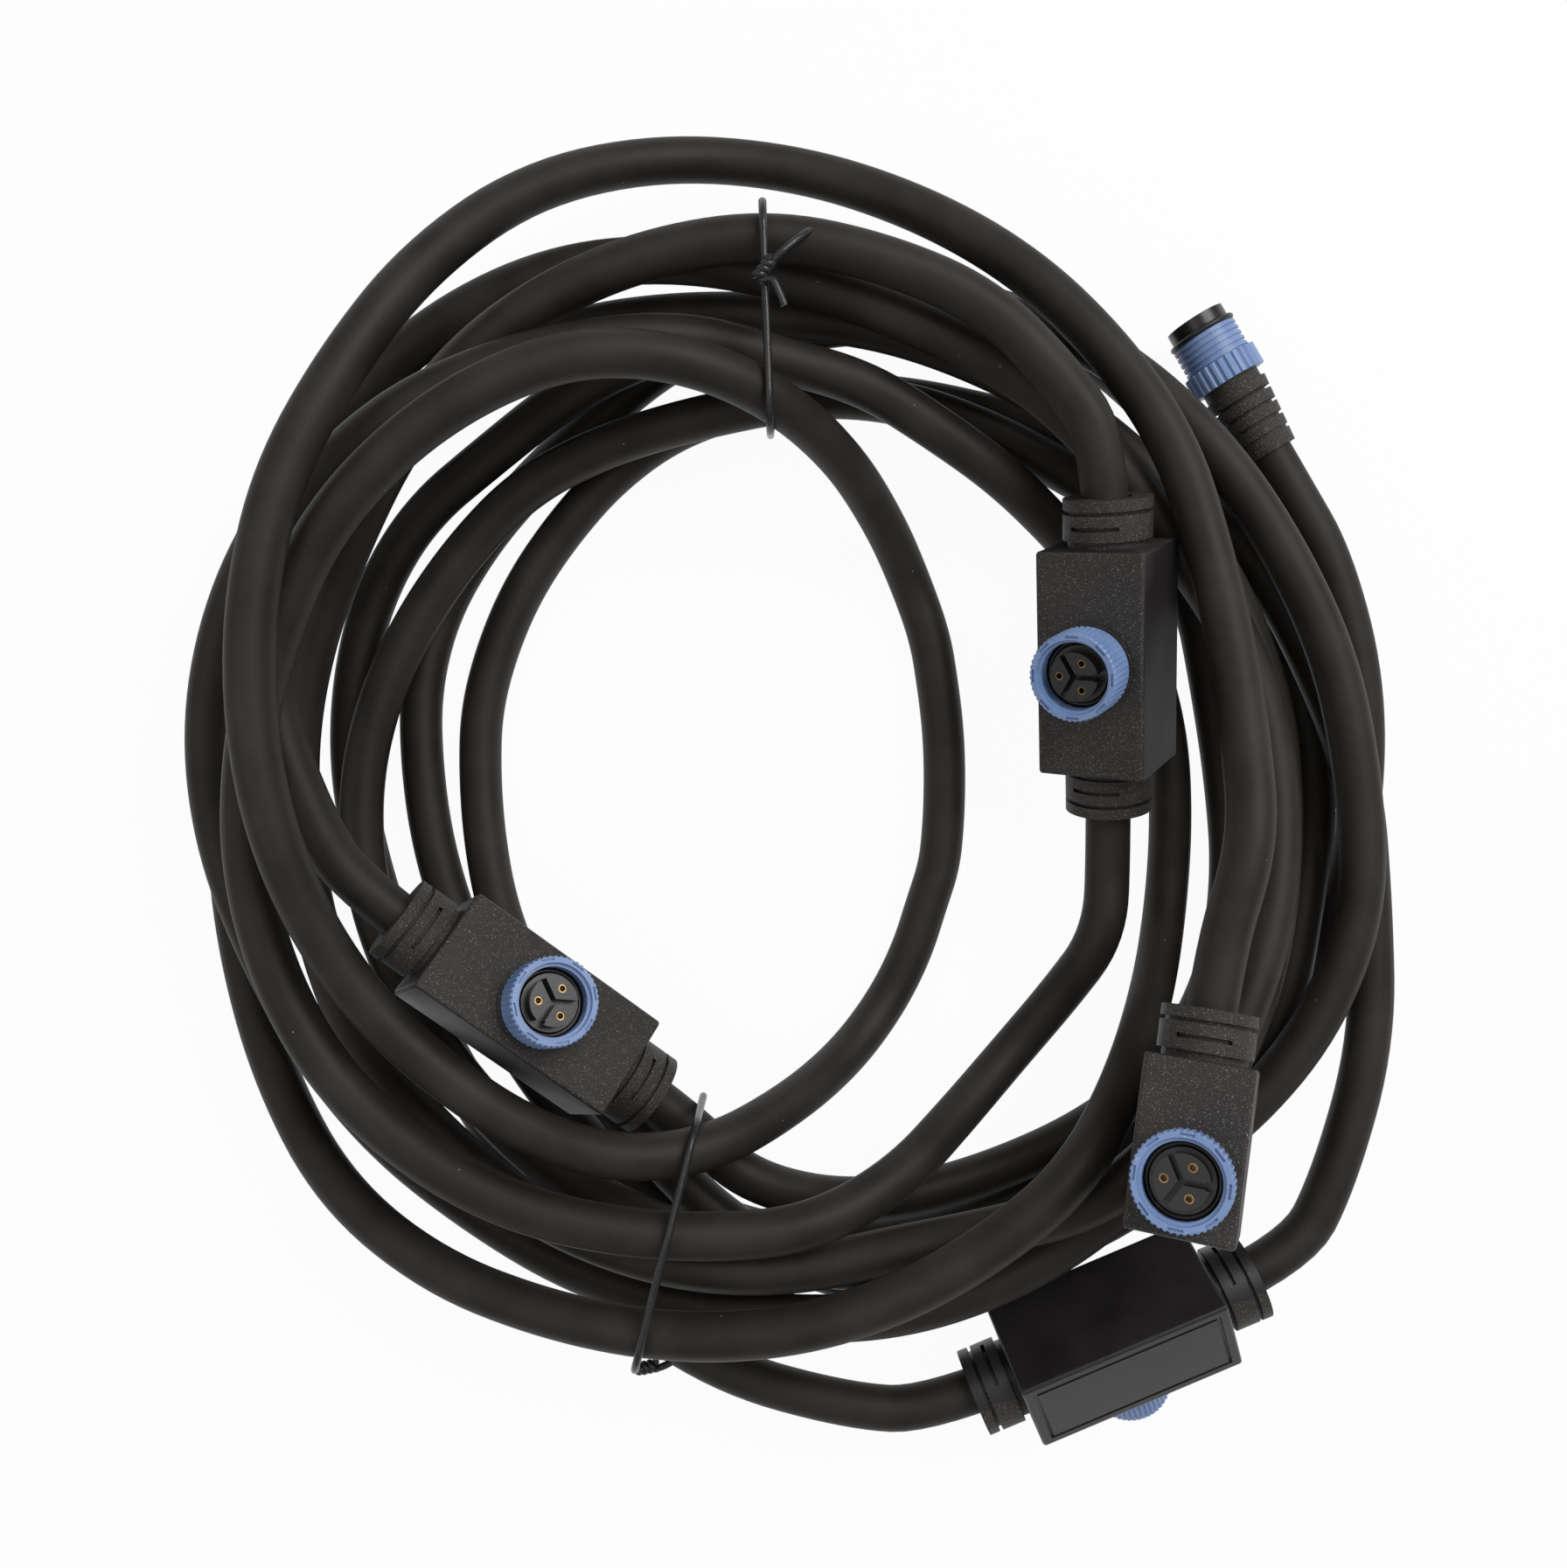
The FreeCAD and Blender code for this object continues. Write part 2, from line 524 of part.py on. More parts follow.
def plug_grip():
    """Moulded grip and strain relief that tapers to the cable, with ring grooves."""
    top = -(THREAD_START + THREAD_LENGTH + COLLAR_RING_LENGTH)
    shoulder = top - PLUG_NECK_LENGTH
    grip = cylinder(PLUG_NECK_RADIUS, shoulder, top)
    cone = Part.makeCone(GRIP_END_RADIUS, GRIP_RADIUS, GRIP_LENGTH, V(0, 0, shoulder - GRIP_LENGTH))
    grip = grip.fuse(cone)
    pitch = GRIP_LENGTH / (GRIP_GROOVES + 1)
    for k in range(GRIP_GROOVES):
        height = shoulder - pitch * (k + 1)
        grip = grip.cut(ring(GRIP_RADIUS + 1, GRIP_END_RADIUS - 0.2, height, height + COLLAR_GROOVE))
    return grip.cut(cylinder(CABLE_RADIUS + CABLE_CLEARANCE, shoulder - GRIP_LENGTH, shoulder))


def cable_ends():
    """For each cable, where its two ends sit inside a box or the plug, and which way they leave it."""
    def at_box(name, side):
        length, _, shift = box_size(name)
        place = TEE_PLACES[name]
        along = box_frame(place)[0] * side
        middle = COIL_MIDDLE + place["middle"] + along * side * shift
        seat = middle + along * (length / 2 - POCKET_MARGIN)
        mouth = middle + along * (length / 2 + COLLAR_LENGTH)
        return seat, mouth, along

    out = V(math.cos(math.radians(PLUG_TURN)), math.sin(math.radians(PLUG_TURN)), 0)
    rim = COIL_MIDDLE + PLUG_RIM
    plug_mouth = rim - out * plug_length()
    plug_seat = rim - out * (plug_length() - GRIP_LENGTH)
    return {
        "end": (at_box("end_box", 1), at_box("tee_right", -1)),
        "first": (at_box("tee_right", 1), at_box("tee_left", -1)),
        "second": (at_box("tee_left", 1), at_box("tee_low", -1)),
        "plug": (at_box("tee_low", 1), (plug_seat, plug_mouth, out * -1)),
    }


def corner_arc(before, corner, after, longest=math.inf):
    """Both ways out of a corner, how far along them its arc starts, and the arc's radius and cut."""
    inward = (before - corner).normalize()
    onward = (after - corner).normalize()
    half_turn = (math.pi - inward.getAngle(onward)) / 2
    setback = min(ARC_SHARE * min((before - corner).Length, (after - corner).Length), longest)
    radius = setback / math.tan(half_turn)
    cut = (inward + onward).normalize() * (radius / math.cos(half_turn) - radius)
    return inward, onward, setback, radius, cut


def pushed_out(points):
    """The points moved out by what their arcs cut off, so that the path runs through the places meant."""
    moved = [points[0]]
    for before, corner, after in zip(points, points[1:], points[2:]):
        place = corner - corner_arc(before, corner, after)[4]
        moved.append(V(place.x, place.y, max(place.z, CABLE_RADIUS - REST_FLAT)))
    return moved + [points[-1]]


def cable_route(strand, ends):
    """Points of one cable: straight out of one seat, round the coil, and straight into the other."""
    points = [COIL_MIDDLE + V(s["x"], s["y"], s["z"]) for s in strand[::SAMPLES_PER_POINT]]
    (seat_a, mouth_a, along_a), (seat_b, mouth_b, along_b) = ends
    points = pushed_out([mouth_a + along_a * END_LEAD] + points + [mouth_b + along_b * END_LEAD])
    return [seat_a] + points + [seat_b]


def tube_path(points):
    """Straight runs joined by arcs as large as their runs allow, and the radii of those arcs."""
    edges = []
    radii = []
    here = points[0]
    for before, corner, after in zip(points, points[1:], points[2:]):
        at_end = before is points[0] or after is points[-1]
        longest = END_SETBACK if at_end else math.inf
        inward, onward, setback, radius, cut = corner_arc(before, corner, after, longest)
        radii.append(radius)
        start = corner + inward * setback
        end = corner + onward * setback
        edges.append(Part.LineSegment(here, start).toShape())
        edges.append(Part.Arc(start, corner + cut, end).toShape())
        here = end
    edges.append(Part.LineSegment(here, points[-1]).toShape())
    return Part.Wire(edges), radii


def tube(points, radius, name):
    """Round tube along a path, with its smallest bend and its volume printed."""
    path, radii = tube_path(points)
    along = (points[1] - points[0]).normalize()
    section = Part.Wire(Part.makeCircle(radius, points[0], along))
    shell = path.makePipeShell([section], True, False)
    solid = Part.Solid(shell) if shell.ShapeType == "Shell" else shell
    expected = math.pi * radius ** 2 * path.Length
    print(name, "length", round(path.Length), "smallest bend radius", round(min(radii), 1),
          "volume share", round(solid.Volume / expected, 4))
    return solid


def flatten_rest(solid):
    """Cut the tube flat where it rests on the surface."""
    box = solid.BoundBox
    if box.ZMin > -0.01:
        return solid
    above = Part.makeBox(box.XLength + 2, box.YLength + 2, box.ZMax + 1, V(box.XMin - 1, box.YMin - 1, 0))
    return solid.common(above)


def gap_report(paths):
    """Print the least gap of each cable to itself and to the others, measured on points."""
    cells = {}
    fine = []
    for name, path in paths.items():
        count = int(path.Length / GAP_STEP)
        for index, point in enumerate(path.discretize(Number=count)):
            spot = (name, index * GAP_STEP, point)
            fine.append(spot)
            cells.setdefault((int(point.x // 15), int(point.y // 15)), []).append(spot)
    least = {}
    for name, along, point in fine:
        column, row = int(point.x // 15), int(point.y // 15)
        for i in (column - 1, column, column + 1):
            for j in (row - 1, row, row + 1):
                for other, other_along, spot in cells.get((i, j), []):
                    if name > other or (name == other and abs(along - other_along) < 60):
                        continue
                    gap = point.distanceToPoint(spot) - CABLE_DIAMETER
                    if gap < least.get((name, other), (99,))[0]:
                        least[(name, other)] = (gap, along, other_along)
    for pair, (gap, along, other_along) in least.items():
        print("least gap", pair, round(gap, 2), "at", round(along), round(other_along))


def tie_crossings(paths, name, direction):
    """Distance from the coil's middle and height of each strand that a tie goes round."""
    way = V(math.cos(math.radians(direction)), math.sin(math.radians(direction)), 0)
    side = V(-way.y, way.x, 0)
    spots = []
    for path in paths.values():
        points = [p - COIL_MIDDLE for p in path.discretize(Number=int(path.Length / GAP_STEP))]
        for here, there in zip(points, points[1:]):
            if here.dot(side) <= 0 < there.dot(side) and 0 < here.dot(way) < TIE_REACH[name]:
                spots.append((here.dot(way), here.z))
    return sorted(spots)


def tie_loop(paths, name, direction):
    """Wire loop drawn tight round the strands that cross one direction."""
    way = V(math.cos(math.radians(direction)), math.sin(math.radians(direction)), 0)
    spots = tie_crossings(paths, name, direction)
    margin = CABLE_RADIUS + TIE_CLEARANCE + TIE_DIAMETER / 2

    def half_hull(points):
        chain = []
        for point in points:
            while len(chain) > 1:
                (x1, z1), (x2, z2) = chain[-2], chain[-1]
                if (x2 - x1) * (point[1] - z1) - (z2 - z1) * (point[0] - x1) > 0.5:
                    break
                chain.pop()
            chain.append(point)
        return chain

    lower = half_hull(spots)
    upper = half_hull(spots[::-1])
    corners = lower[:-1] + upper[:-1]
    edges = []
    count = len(corners)

    def at(r, z):
        return COIL_MIDDLE + way * r + V(0, 0, z)

    def outward(a, b):
        length = math.dist(a, b)
        return (b[1] - a[1]) / length, -(b[0] - a[0]) / length

    for i in range(count):
        before, corner, after = corners[i - 1], corners[i], corners[(i + 1) % count]
        n1 = outward(before, corner)
        n2 = outward(corner, after)
        middle = ((n1[0] + n2[0]), (n1[1] + n2[1]))
        size = math.hypot(*middle)
        start = at(corner[0] + n1[0] * margin, corner[1] + n1[1] * margin)
        half = at(corner[0] + middle[0] / size * margin, corner[1] + middle[1] / size * margin)
        end = at(corner[0] + n2[0] * margin, corner[1] + n2[1] * margin)
        edges.append(Part.Arc(start, half, end).toShape())
        next_start = at(after[0] + n2[0] * margin, after[1] + n2[1] * margin)
        edges.append(Part.LineSegment(end, next_start).toShape())
    path = Part.Wire(edges)
    first = edges[0]
    tangent = first.tangentAt(first.FirstParameter)
    section = Part.Wire(Part.makeCircle(TIE_DIAMETER / 2, first.valueAt(first.FirstParameter), tangent))
    return path.makePipeShell([section], True, False), corners


def main():
    os.makedirs("parts", exist_ok=True)
    cables = {
        "end": unrolled(END_CABLE_TURNS),
        "first": unrolled(FIRST_CABLE_TURNS),
        "second": unrolled(SECOND_CABLE_TURNS),
        "plug": unrolled(PLUG_CABLE_TURNS),
    }
    ends = cable_ends()
    end_heights = {name: (a[1].z, b[1].z) for name, (a, b) in ends.items()}
    strands = lay_heap(cables, end_heights)
    print("heap top", round(max(s["z"] for strand in strands.values() for s in strand) + CABLE_RADIUS, 1))
    nodes = {}
    paths = {}
    for name, node in (("end", "cable_end"), ("first", "cable_first"), ("second", "cable_second"),
                       ("plug", "cable_plug")):
        route = cable_route(strands[name], ends[name])
        paths[node] = tube_path(route)[0]
        nodes[node] = flatten_rest(tube(route, CABLE_RADIUS, node))
    gap_report(paths)
    for name, place in TEE_PLACES.items():
        length, width, shift = box_size(name)
        sides = (1,) if name == "end_box" else (-1, 1)
        made = {"body": tee_body(length, width, shift, sides), "carrier": tee_carrier(length, shift),
                "insert": tee_insert(), "contacts": tee_contacts(), "seal": tee_seal(), "nut": coupling_nut()}
        for piece, shape in made.items():
            shape.Placement = box_placement(place).multiply(shape.Placement)
            nodes[name + "_" + piece] = shape
    for node, shape in (("plug_sleeve", plug_sleeve()), ("plug_pins", plug_pins()),
                        ("plug_thread", plug_thread()), ("plug_seal", plug_seal()),
                        ("plug_grip", plug_grip())):
        shape.Placement = plug_placement().multiply(shape.Placement)
        nodes[node] = shape
    for node, direction in TIE_DIRECTIONS.items():
        nodes[node] = tie_loop(paths, node, direction)[0]
    whole = Part.makeCompound(list(nodes.values())).optimalBoundingBox(False, False)
    print("box", [round(v, 2) for v in (whole.XMin, whole.XMax, whole.YMin, whole.YMax, whole.ZMin, whole.ZMax)])
    for node, shape in nodes.items():
        shape.exportStep("parts/" + node + ".step")


main()
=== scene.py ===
"""Coiled trunk power cable with four moulded sockets and a plug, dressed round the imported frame.

Sizes in this file are millimetres until a mesh or a curve is made, and metres in Blender. Only the
studio's paper and lamps are given in metres.
The view from above has the plug at the upper right, +X to the right and +Y up.
"""
import logging
import math
from dataclasses import dataclass, field
from enum import Enum

import bpy
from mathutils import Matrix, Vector


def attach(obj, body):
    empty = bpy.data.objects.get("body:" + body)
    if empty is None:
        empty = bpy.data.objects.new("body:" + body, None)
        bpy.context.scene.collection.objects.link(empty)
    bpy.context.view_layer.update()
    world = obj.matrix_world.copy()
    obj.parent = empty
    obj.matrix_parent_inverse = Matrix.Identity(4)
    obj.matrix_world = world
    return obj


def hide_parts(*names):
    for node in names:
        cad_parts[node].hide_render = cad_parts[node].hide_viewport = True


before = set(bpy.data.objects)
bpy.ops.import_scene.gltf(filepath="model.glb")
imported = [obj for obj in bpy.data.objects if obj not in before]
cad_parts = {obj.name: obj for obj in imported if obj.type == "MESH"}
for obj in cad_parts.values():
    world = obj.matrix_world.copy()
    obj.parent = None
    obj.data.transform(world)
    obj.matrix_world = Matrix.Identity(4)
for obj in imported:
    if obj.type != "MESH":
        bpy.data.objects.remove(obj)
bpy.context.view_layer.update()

LOG = logging.getLogger("trunk_cable")
MM = 0.001

# Cable and heap, as in the part's source
CABLE_DIAMETER = 9.5
CABLE_RADIUS = CABLE_DIAMETER / 2
REST_FLAT = 0.5
STRAND_GAP = 1.0
SAMPLES_PER_TURN = 120
SAMPLES_PER_POINT = 4
SMOOTH_SAMPLES = 5
ARC_SHARE = 0.45
HEAP_ROUNDS = 12
END_LEAD = 10.0
# Samples of one cable that are less than this far apart along it, in degrees, don't rest on each other
OWN_STRETCH = 60
# How many turns a lifted stretch takes to fall by one level
LIFTED_TURNS_PER_LEVEL = 10
# The coil's middle, from the origin
COIL_MIDDLE = Vector((-2.3, 2.05, 0.0))

# Each cable's route: direction from the coil's middle in degrees, then distance in mm, turn after turn
END_CABLE_TURNS = (
    ((-8, 90), (0, 90), (15, 93), (30, 99), (45, 107), (60, 115), (75, 125), (90, 134),
     (105, 136), (120, 127), (135, 116), (150, 110), (165, 104), (180, 99), (195, 96), (210, 93),
     (225, 89), (240, 85), (250, 81), (260, 76), (270, 70), (280, 65), (290, 59), (300, 53),
     (315, 45), (330, 41), (345, 38)),
    ((0, 37), (15, 38), (30, 41), (45, 47), (60, 55), (70, 62), (80, 69), (90, 75), (100, 81), (110, 87),
     (120, 92), (130, 95), (140, 98), (150, 101), (160, 103), (170, 104), (180, 106), (190, 108),
     (200, 109), (210, 109), (220, 107), (230, 103), (240, 100), (250, 96), (260, 93), (270, 91),
     (280, 88), (290, 84), (300, 81), (315, 78), (334, 76)),
)
FIRST_CABLE_TURNS = (
    ((55, 97), (62, 101), (70, 103), (80, 105), (90, 107), (100, 107), (110, 107), (120, 107),
     (135, 107), (150, 106), (165, 107), (180, 108), (195, 108), (210, 107), (225, 104), (240, 103),
     (255, 102), (265, 102), (280, 99), (290, 99), (300, 103), (312, 107), (325, 105), (335, 104),
     (350, 104)),
    ((0, 103), (10, 102), (18, 100), (31, 96), (40, 95), (50, 96), (60, 96), (70, 97), (80, 99),
     (90, 103), (100, 108), (110, 114), (120, 119), (130, 122), (140, 124), (150, 125), (165, 128),
     (175, 128), (185, 126), (195, 123), (205, 121), (215, 120), (230, 117), (245, 115), (260, 113),
     (270, 112), (280, 113), (290, 113), (300, 113), (310, 112), (320, 111), (335, 111), (345, 110)),
    ((0, 109), (12, 107), (28, 104), (45, 102), (60, 99), (75, 98), (90, 98), (104, 101), (115, 105),
     (135, 115), (150, 120), (165, 123), (180, 126), (190, 128), (200, 130), (210, 131), (220, 131),
     (230, 127), (240, 122), (250, 117), (260, 113), (270, 109), (280, 105), (290, 101), (300, 98),
     (310, 95), (320, 94), (330, 93), (340, 92), (350, 90)),
    ((0, 88), (10, 88), (25, 86), (45, 81), (60, 80), (70, 82), (80, 85), (90, 87), (100, 91),
     (110, 94), (120, 97), (130, 102), (140, 107), (150, 111), (160, 111), (170, 106), (178, 101),
     (186, 95)),
)
SECOND_CABLE_TURNS = (
    ((264, 85), (270, 89), (280, 94), (295, 99), (305, 102), (315, 105), (329, 108), (345, 105)),
    ((0, 101), (12, 100), (24, 101), (36, 98), (48, 92), (62, 88), (75, 86), (90, 83), (100, 81),
     (115, 82), (130, 85), (150, 87), (165, 90), (180, 93), (195, 95), (210, 96), (225, 97), (240, 98),
     (255, 99), (270, 102), (285, 108), (300, 113), (315, 118), (330, 124), (345, 126)),
    ((0, 122), (15, 119), (30, 116), (45, 116), (60, 115), (72, 108), (82, 101), (92, 98), (100, 98),
     (115, 97), (130, 96), (140, 99), (150, 101), (160, 101), (175, 99), (195, 96), (210, 97),
     (225, 101), (240, 111), (250, 120), (260, 128), (268, 133), (276, 137)),
)
PLUG_CABLE_TURNS = (
    ((324, 148), (331, 144), (340, 137), (350, 130)),
    ((0, 126), (15, 118), (30, 113), (45, 104), (60, 95), (75, 90), (90, 86), (100, 84), (110, 82),
     (120, 79), (130, 76), (140, 74), (150, 72), (160, 71), (170, 70), (180, 69), (190, 69), (200, 70),
     (210, 72), (225, 75), (240, 80), (255, 90), (270, 105), (285, 115), (300, 120), (315, 124),
     (330, 123), (345, 119)),
    ((0, 120), (15, 119), (28, 118), (38, 119), (50, 120), (60, 119), (75, 114), (90, 106), (105, 98),
     (120, 91), (135, 88), (150, 87), (160, 86), (170, 84), (180, 82), (195, 81), (210, 82), (225, 86),
     (240, 92), (255, 98), (270, 104), (285, 108), (300, 110), (315, 113), (330, 119), (345, 129)),
    ((0, 132), (12, 133), (22, 133)),
)
# Which strand lies on which: a cable's turns lie on the turns after them, from its level down.
# A lifted stretch of a cable, from its start to its end in degrees, gets a level of its own.
LIFTED = (("first", 950, 1032, 35.0), ("first", 1152, 1290, 34.0))

# A stretch that passes over a box, from its start to its end in degrees, and the least height of its
# middle there
RAISED = (("end", 205, 250, 46.0),)

# Ties: the wire's width, the direction where each goes round the coil, the room left above the wire,
# and how far to each side a strand is lifted over it, in degrees
TIE_DIAMETER = 1.6
TIE_DIRECTIONS = {"tie_top": 92.0, "tie_bottom": 256.0}
TIE_CLEARANCE = 1.3
TIE_LIFT_HALF_WIDTH = 8.0

# Height in millimetres that is clear above the whole heap
ABOVE_HEAP = 200.0

# Order of the splines that draw the cables and the ties' knots
SPLINE_ORDER = 3

# Sockets that share their names, by number: a math node's two values, a shader mix's two shaders,
# and a colour mix's share, its two colours and its result
FIRST, SECOND = 0, 1
SHADER_UNDER, SHADER_OVER = 1, 2
MIX_SHARE, MIX_FROM, MIX_TO = 0, 6, 7
MIX_RESULT = 2


def linear(hex_colour: str) -> tuple[float, float, float, float]:
    """Turn an sRGB hex colour into the linear colour that a shader takes.

    Args:
        hex_colour: Six hex digits after a hash sign.

    Returns:
        Red, green, blue and an alpha of 1.
    """
    shares = [int(hex_colour[i:i + 2], 16) / 255 for i in (1, 3, 5)]
    values = [s / 12.92 if s <= 0.04045 else ((s + 0.055) / 1.055) ** 2.4 for s in shares]
    return values[0], values[1], values[2], 1.0


def pattern_scale(size_mm: float) -> float:
    """Texture scale that draws one feature of a pattern at its real size in millimetres."""
    return 1000.0 / size_mm


def add_node(tree: bpy.types.NodeTree, kind: str, settings: dict, links: dict,
             stops: tuple[tuple[float, str], ...] = ()) -> bpy.types.Node:
    """Add a shader node with its settings and its links.

    Args:
        tree: Node tree of the material.
        kind: Blender's name of the node.
        settings: Attributes of the node, and values of its sockets by their names or numbers.
        links: For a socket's name or number, the output that feeds it.
        stops: For a colour ramp, the places of its two stops from 0 to 1, and their hex colours.

    Returns:
        The new node.
    """
    node = tree.nodes.new(kind)
    for name, value in settings.items():
        if isinstance(name, int) or name in node.inputs:
            node.inputs[name].default_value = value
        else:
            setattr(node, name, value)
    for name, output in links.items():
        tree.links.new(output, node.inputs[name])
    for index, (place, colour) in enumerate(stops):
        element = node.color_ramp.elements[index]
        element.position = place
        element.color = linear(colour)
    return node


def new_material(name: str) -> tuple[bpy.types.Material, bpy.types.NodeTree]:
    """Start a material with an empty tree.

    Args:
        name: The material's name.

    Returns:
        The material and its tree.
    """
    material = bpy.data.materials.new(name)
    material.use_nodes = True
    material.node_tree.nodes.clear()
    return material, material.node_tree


class Polish(Enum):
    """How a moulded surface was finished in its tool, as a roughness."""

    SPARKED = 0.56
    SATIN = 0.4
    POLISHED = 0.3


@dataclass(frozen=True)
class SheathRubber:
    """Extruded chloroprene rubber of a cable's sheath: warm black, matt, with one broad soft highlight."""

    name: str = "chloroprene_rubber_sheath"
    dark: str = "#24201c"
    light: str = "#322d28"
    dust: str = "#8d8780"
    cloud_mm: float = 14.0
    cloud_from: float = 0.35
    cloud_to: float = 0.7
    skin_mm: float = 0.5
    skin_bump: float = 0.06
    skin_depth_mm: float = 0.2
    dust_spacing_mm: float = 7.0
    dust_size_mm: float = 0.16
    clean_share: float = 0.45
    roughness_low: float = 0.5
    roughness_high: float = 0.62
    sheen: float = 0.3
    ior: float = 1.52

    def material(self) -> bpy.types.Material:
        """Build the rubber: slow clouds of grey, a fine skin in the bump, and a few grains of dust.

        Returns:
            The sheath's material.
        """
        material, tree = new_material(self.name)
        place = add_node(tree, "ShaderNodeTexCoord", {}, {}).outputs["Object"]
        clouds = add_node(tree, "ShaderNodeTexNoise",
                          {"Scale": pattern_scale(self.cloud_mm), "Detail": 3.0}, {"Vector": place})
        colour = add_node(tree, "ShaderNodeValToRGB", {}, {"Fac": clouds.outputs["Fac"]},
                          stops=((self.cloud_from, self.dark), (self.cloud_to, self.light)))
        cells = add_node(tree, "ShaderNodeTexVoronoi",
                         {"Scale": pattern_scale(self.dust_spacing_mm)}, {"Vector": place})
        near = add_node(tree, "ShaderNodeMath",
                        {"operation": "LESS_THAN", SECOND: self.dust_size_mm / self.dust_spacing_mm},
                        {FIRST: cells.outputs["Distance"]})
        chance = add_node(tree, "ShaderNodeSeparateColor", {}, {"Color": cells.outputs["Color"]})
        chosen = add_node(tree, "ShaderNodeMath", {"operation": "GREATER_THAN", SECOND: self.clean_share},
                          {FIRST: chance.outputs["Red"]})
        grain = add_node(tree, "ShaderNodeMath", {"operation": "MULTIPLY"},
                         {FIRST: near.outputs["Value"], SECOND: chosen.outputs["Value"]})
        dusty = add_node(tree, "ShaderNodeMix", {"data_type": "RGBA", MIX_TO: linear(self.dust)},
                         {MIX_SHARE: grain.outputs["Value"], MIX_FROM: colour.outputs["Color"]})
        skin = add_node(tree, "ShaderNodeTexNoise",
                        {"Scale": pattern_scale(self.skin_mm), "Detail": 2.0}, {"Vector": place})
        bump = add_node(tree, "ShaderNodeBump",
                        {"Strength": self.skin_bump, "Distance": self.skin_depth_mm * MM},
                        {"Height": skin.outputs["Fac"]})
        roughness = add_node(tree, "ShaderNodeMapRange",
                             {"To Min": self.roughness_low, "To Max": self.roughness_high},
                             {"Value": clouds.outputs["Fac"]})
        shader = add_node(tree, "ShaderNodeBsdfPrincipled",
                          {"IOR": self.ior, "Specular IOR Level": self.sheen},
                          {"Base Color": dusty.outputs[MIX_RESULT], "Roughness": roughness.outputs["Result"],
                           "Normal": bump.outputs["Normal"]})
        add_node(tree, "ShaderNodeOutputMaterial", {}, {"Surface": shader.outputs["BSDF"]})
        return material


@dataclass(frozen=True)
class MouldedPlastic:
    """Plastic or rubber out of a tool: an even colour, a fine grain, and pale glints painted on the grain's
    tops as highlights.
    """

    name: str
    dark: str
    light: str
    # The pale colour of the highlights painted on the grain's tops
    painted_glint: str
    polish: Polish
    grain_mm: float
    bump: float
    painted_glint_from: float
    ior: float = 1.53
    cloud_mm: float = 9.0
    cloud_from: float = 0.3
    cloud_to: float = 0.7
    painted_glint_width: float = 0.12
    grain_depth_mm: float = 0.3
    roughness_below: float = 0.06
    roughness_above: float = 0.08

    def material(self) -> bpy.types.Material:
        """Build the plastic: clouds of its colour, pale painted highlights on the grain's tops, and the
        grain's bump.

        Returns:
            The plastic's material.
        """
        material, tree = new_material(self.name)
        place = add_node(tree, "ShaderNodeTexCoord", {}, {}).outputs["Object"]
        clouds = add_node(tree, "ShaderNodeTexNoise",
                          {"Scale": pattern_scale(self.cloud_mm), "Detail": 4.0}, {"Vector": place})
        colour = add_node(tree, "ShaderNodeValToRGB", {}, {"Fac": clouds.outputs["Fac"]},
                          stops=((self.cloud_from, self.dark), (self.cloud_to, self.light)))
        grain = add_node(tree, "ShaderNodeTexNoise",
                         {"Scale": pattern_scale(self.grain_mm), "Detail": 2.0, "Roughness": 0.6},
                         {"Vector": place})
        # Painted highlight: where the grain is highest, the colour turns to the pale glint colour
        tops = add_node(tree, "ShaderNodeMapRange",
                        {"From Min": self.painted_glint_from, "From Max": self.painted_glint_from + self.painted_glint_width},
                        {"Value": grain.outputs["Fac"]})
        with_painted_glints = add_node(tree, "ShaderNodeMix", {"data_type": "RGBA", MIX_TO: linear(self.painted_glint)},
                         {MIX_SHARE: tops.outputs["Result"], MIX_FROM: colour.outputs["Color"]})
        bump = add_node(tree, "ShaderNodeBump",
                        {"Strength": self.bump, "Distance": self.grain_depth_mm * MM},
                        {"Height": grain.outputs["Fac"]})
        roughness = add_node(tree, "ShaderNodeMapRange",
                             {"To Min": self.polish.value - self.roughness_below,
                              "To Max": self.polish.value + self.roughness_above},
                             {"Value": clouds.outputs["Fac"]})
        shader = add_node(tree, "ShaderNodeBsdfPrincipled", {"IOR": self.ior},
                          {"Base Color": with_painted_glints.outputs[MIX_RESULT], "Roughness": roughness.outputs["Result"],
                           "Normal": bump.outputs["Normal"]})
        add_node(tree, "ShaderNodeOutputMaterial", {}, {"Surface": shader.outputs["BSDF"]})
        return material


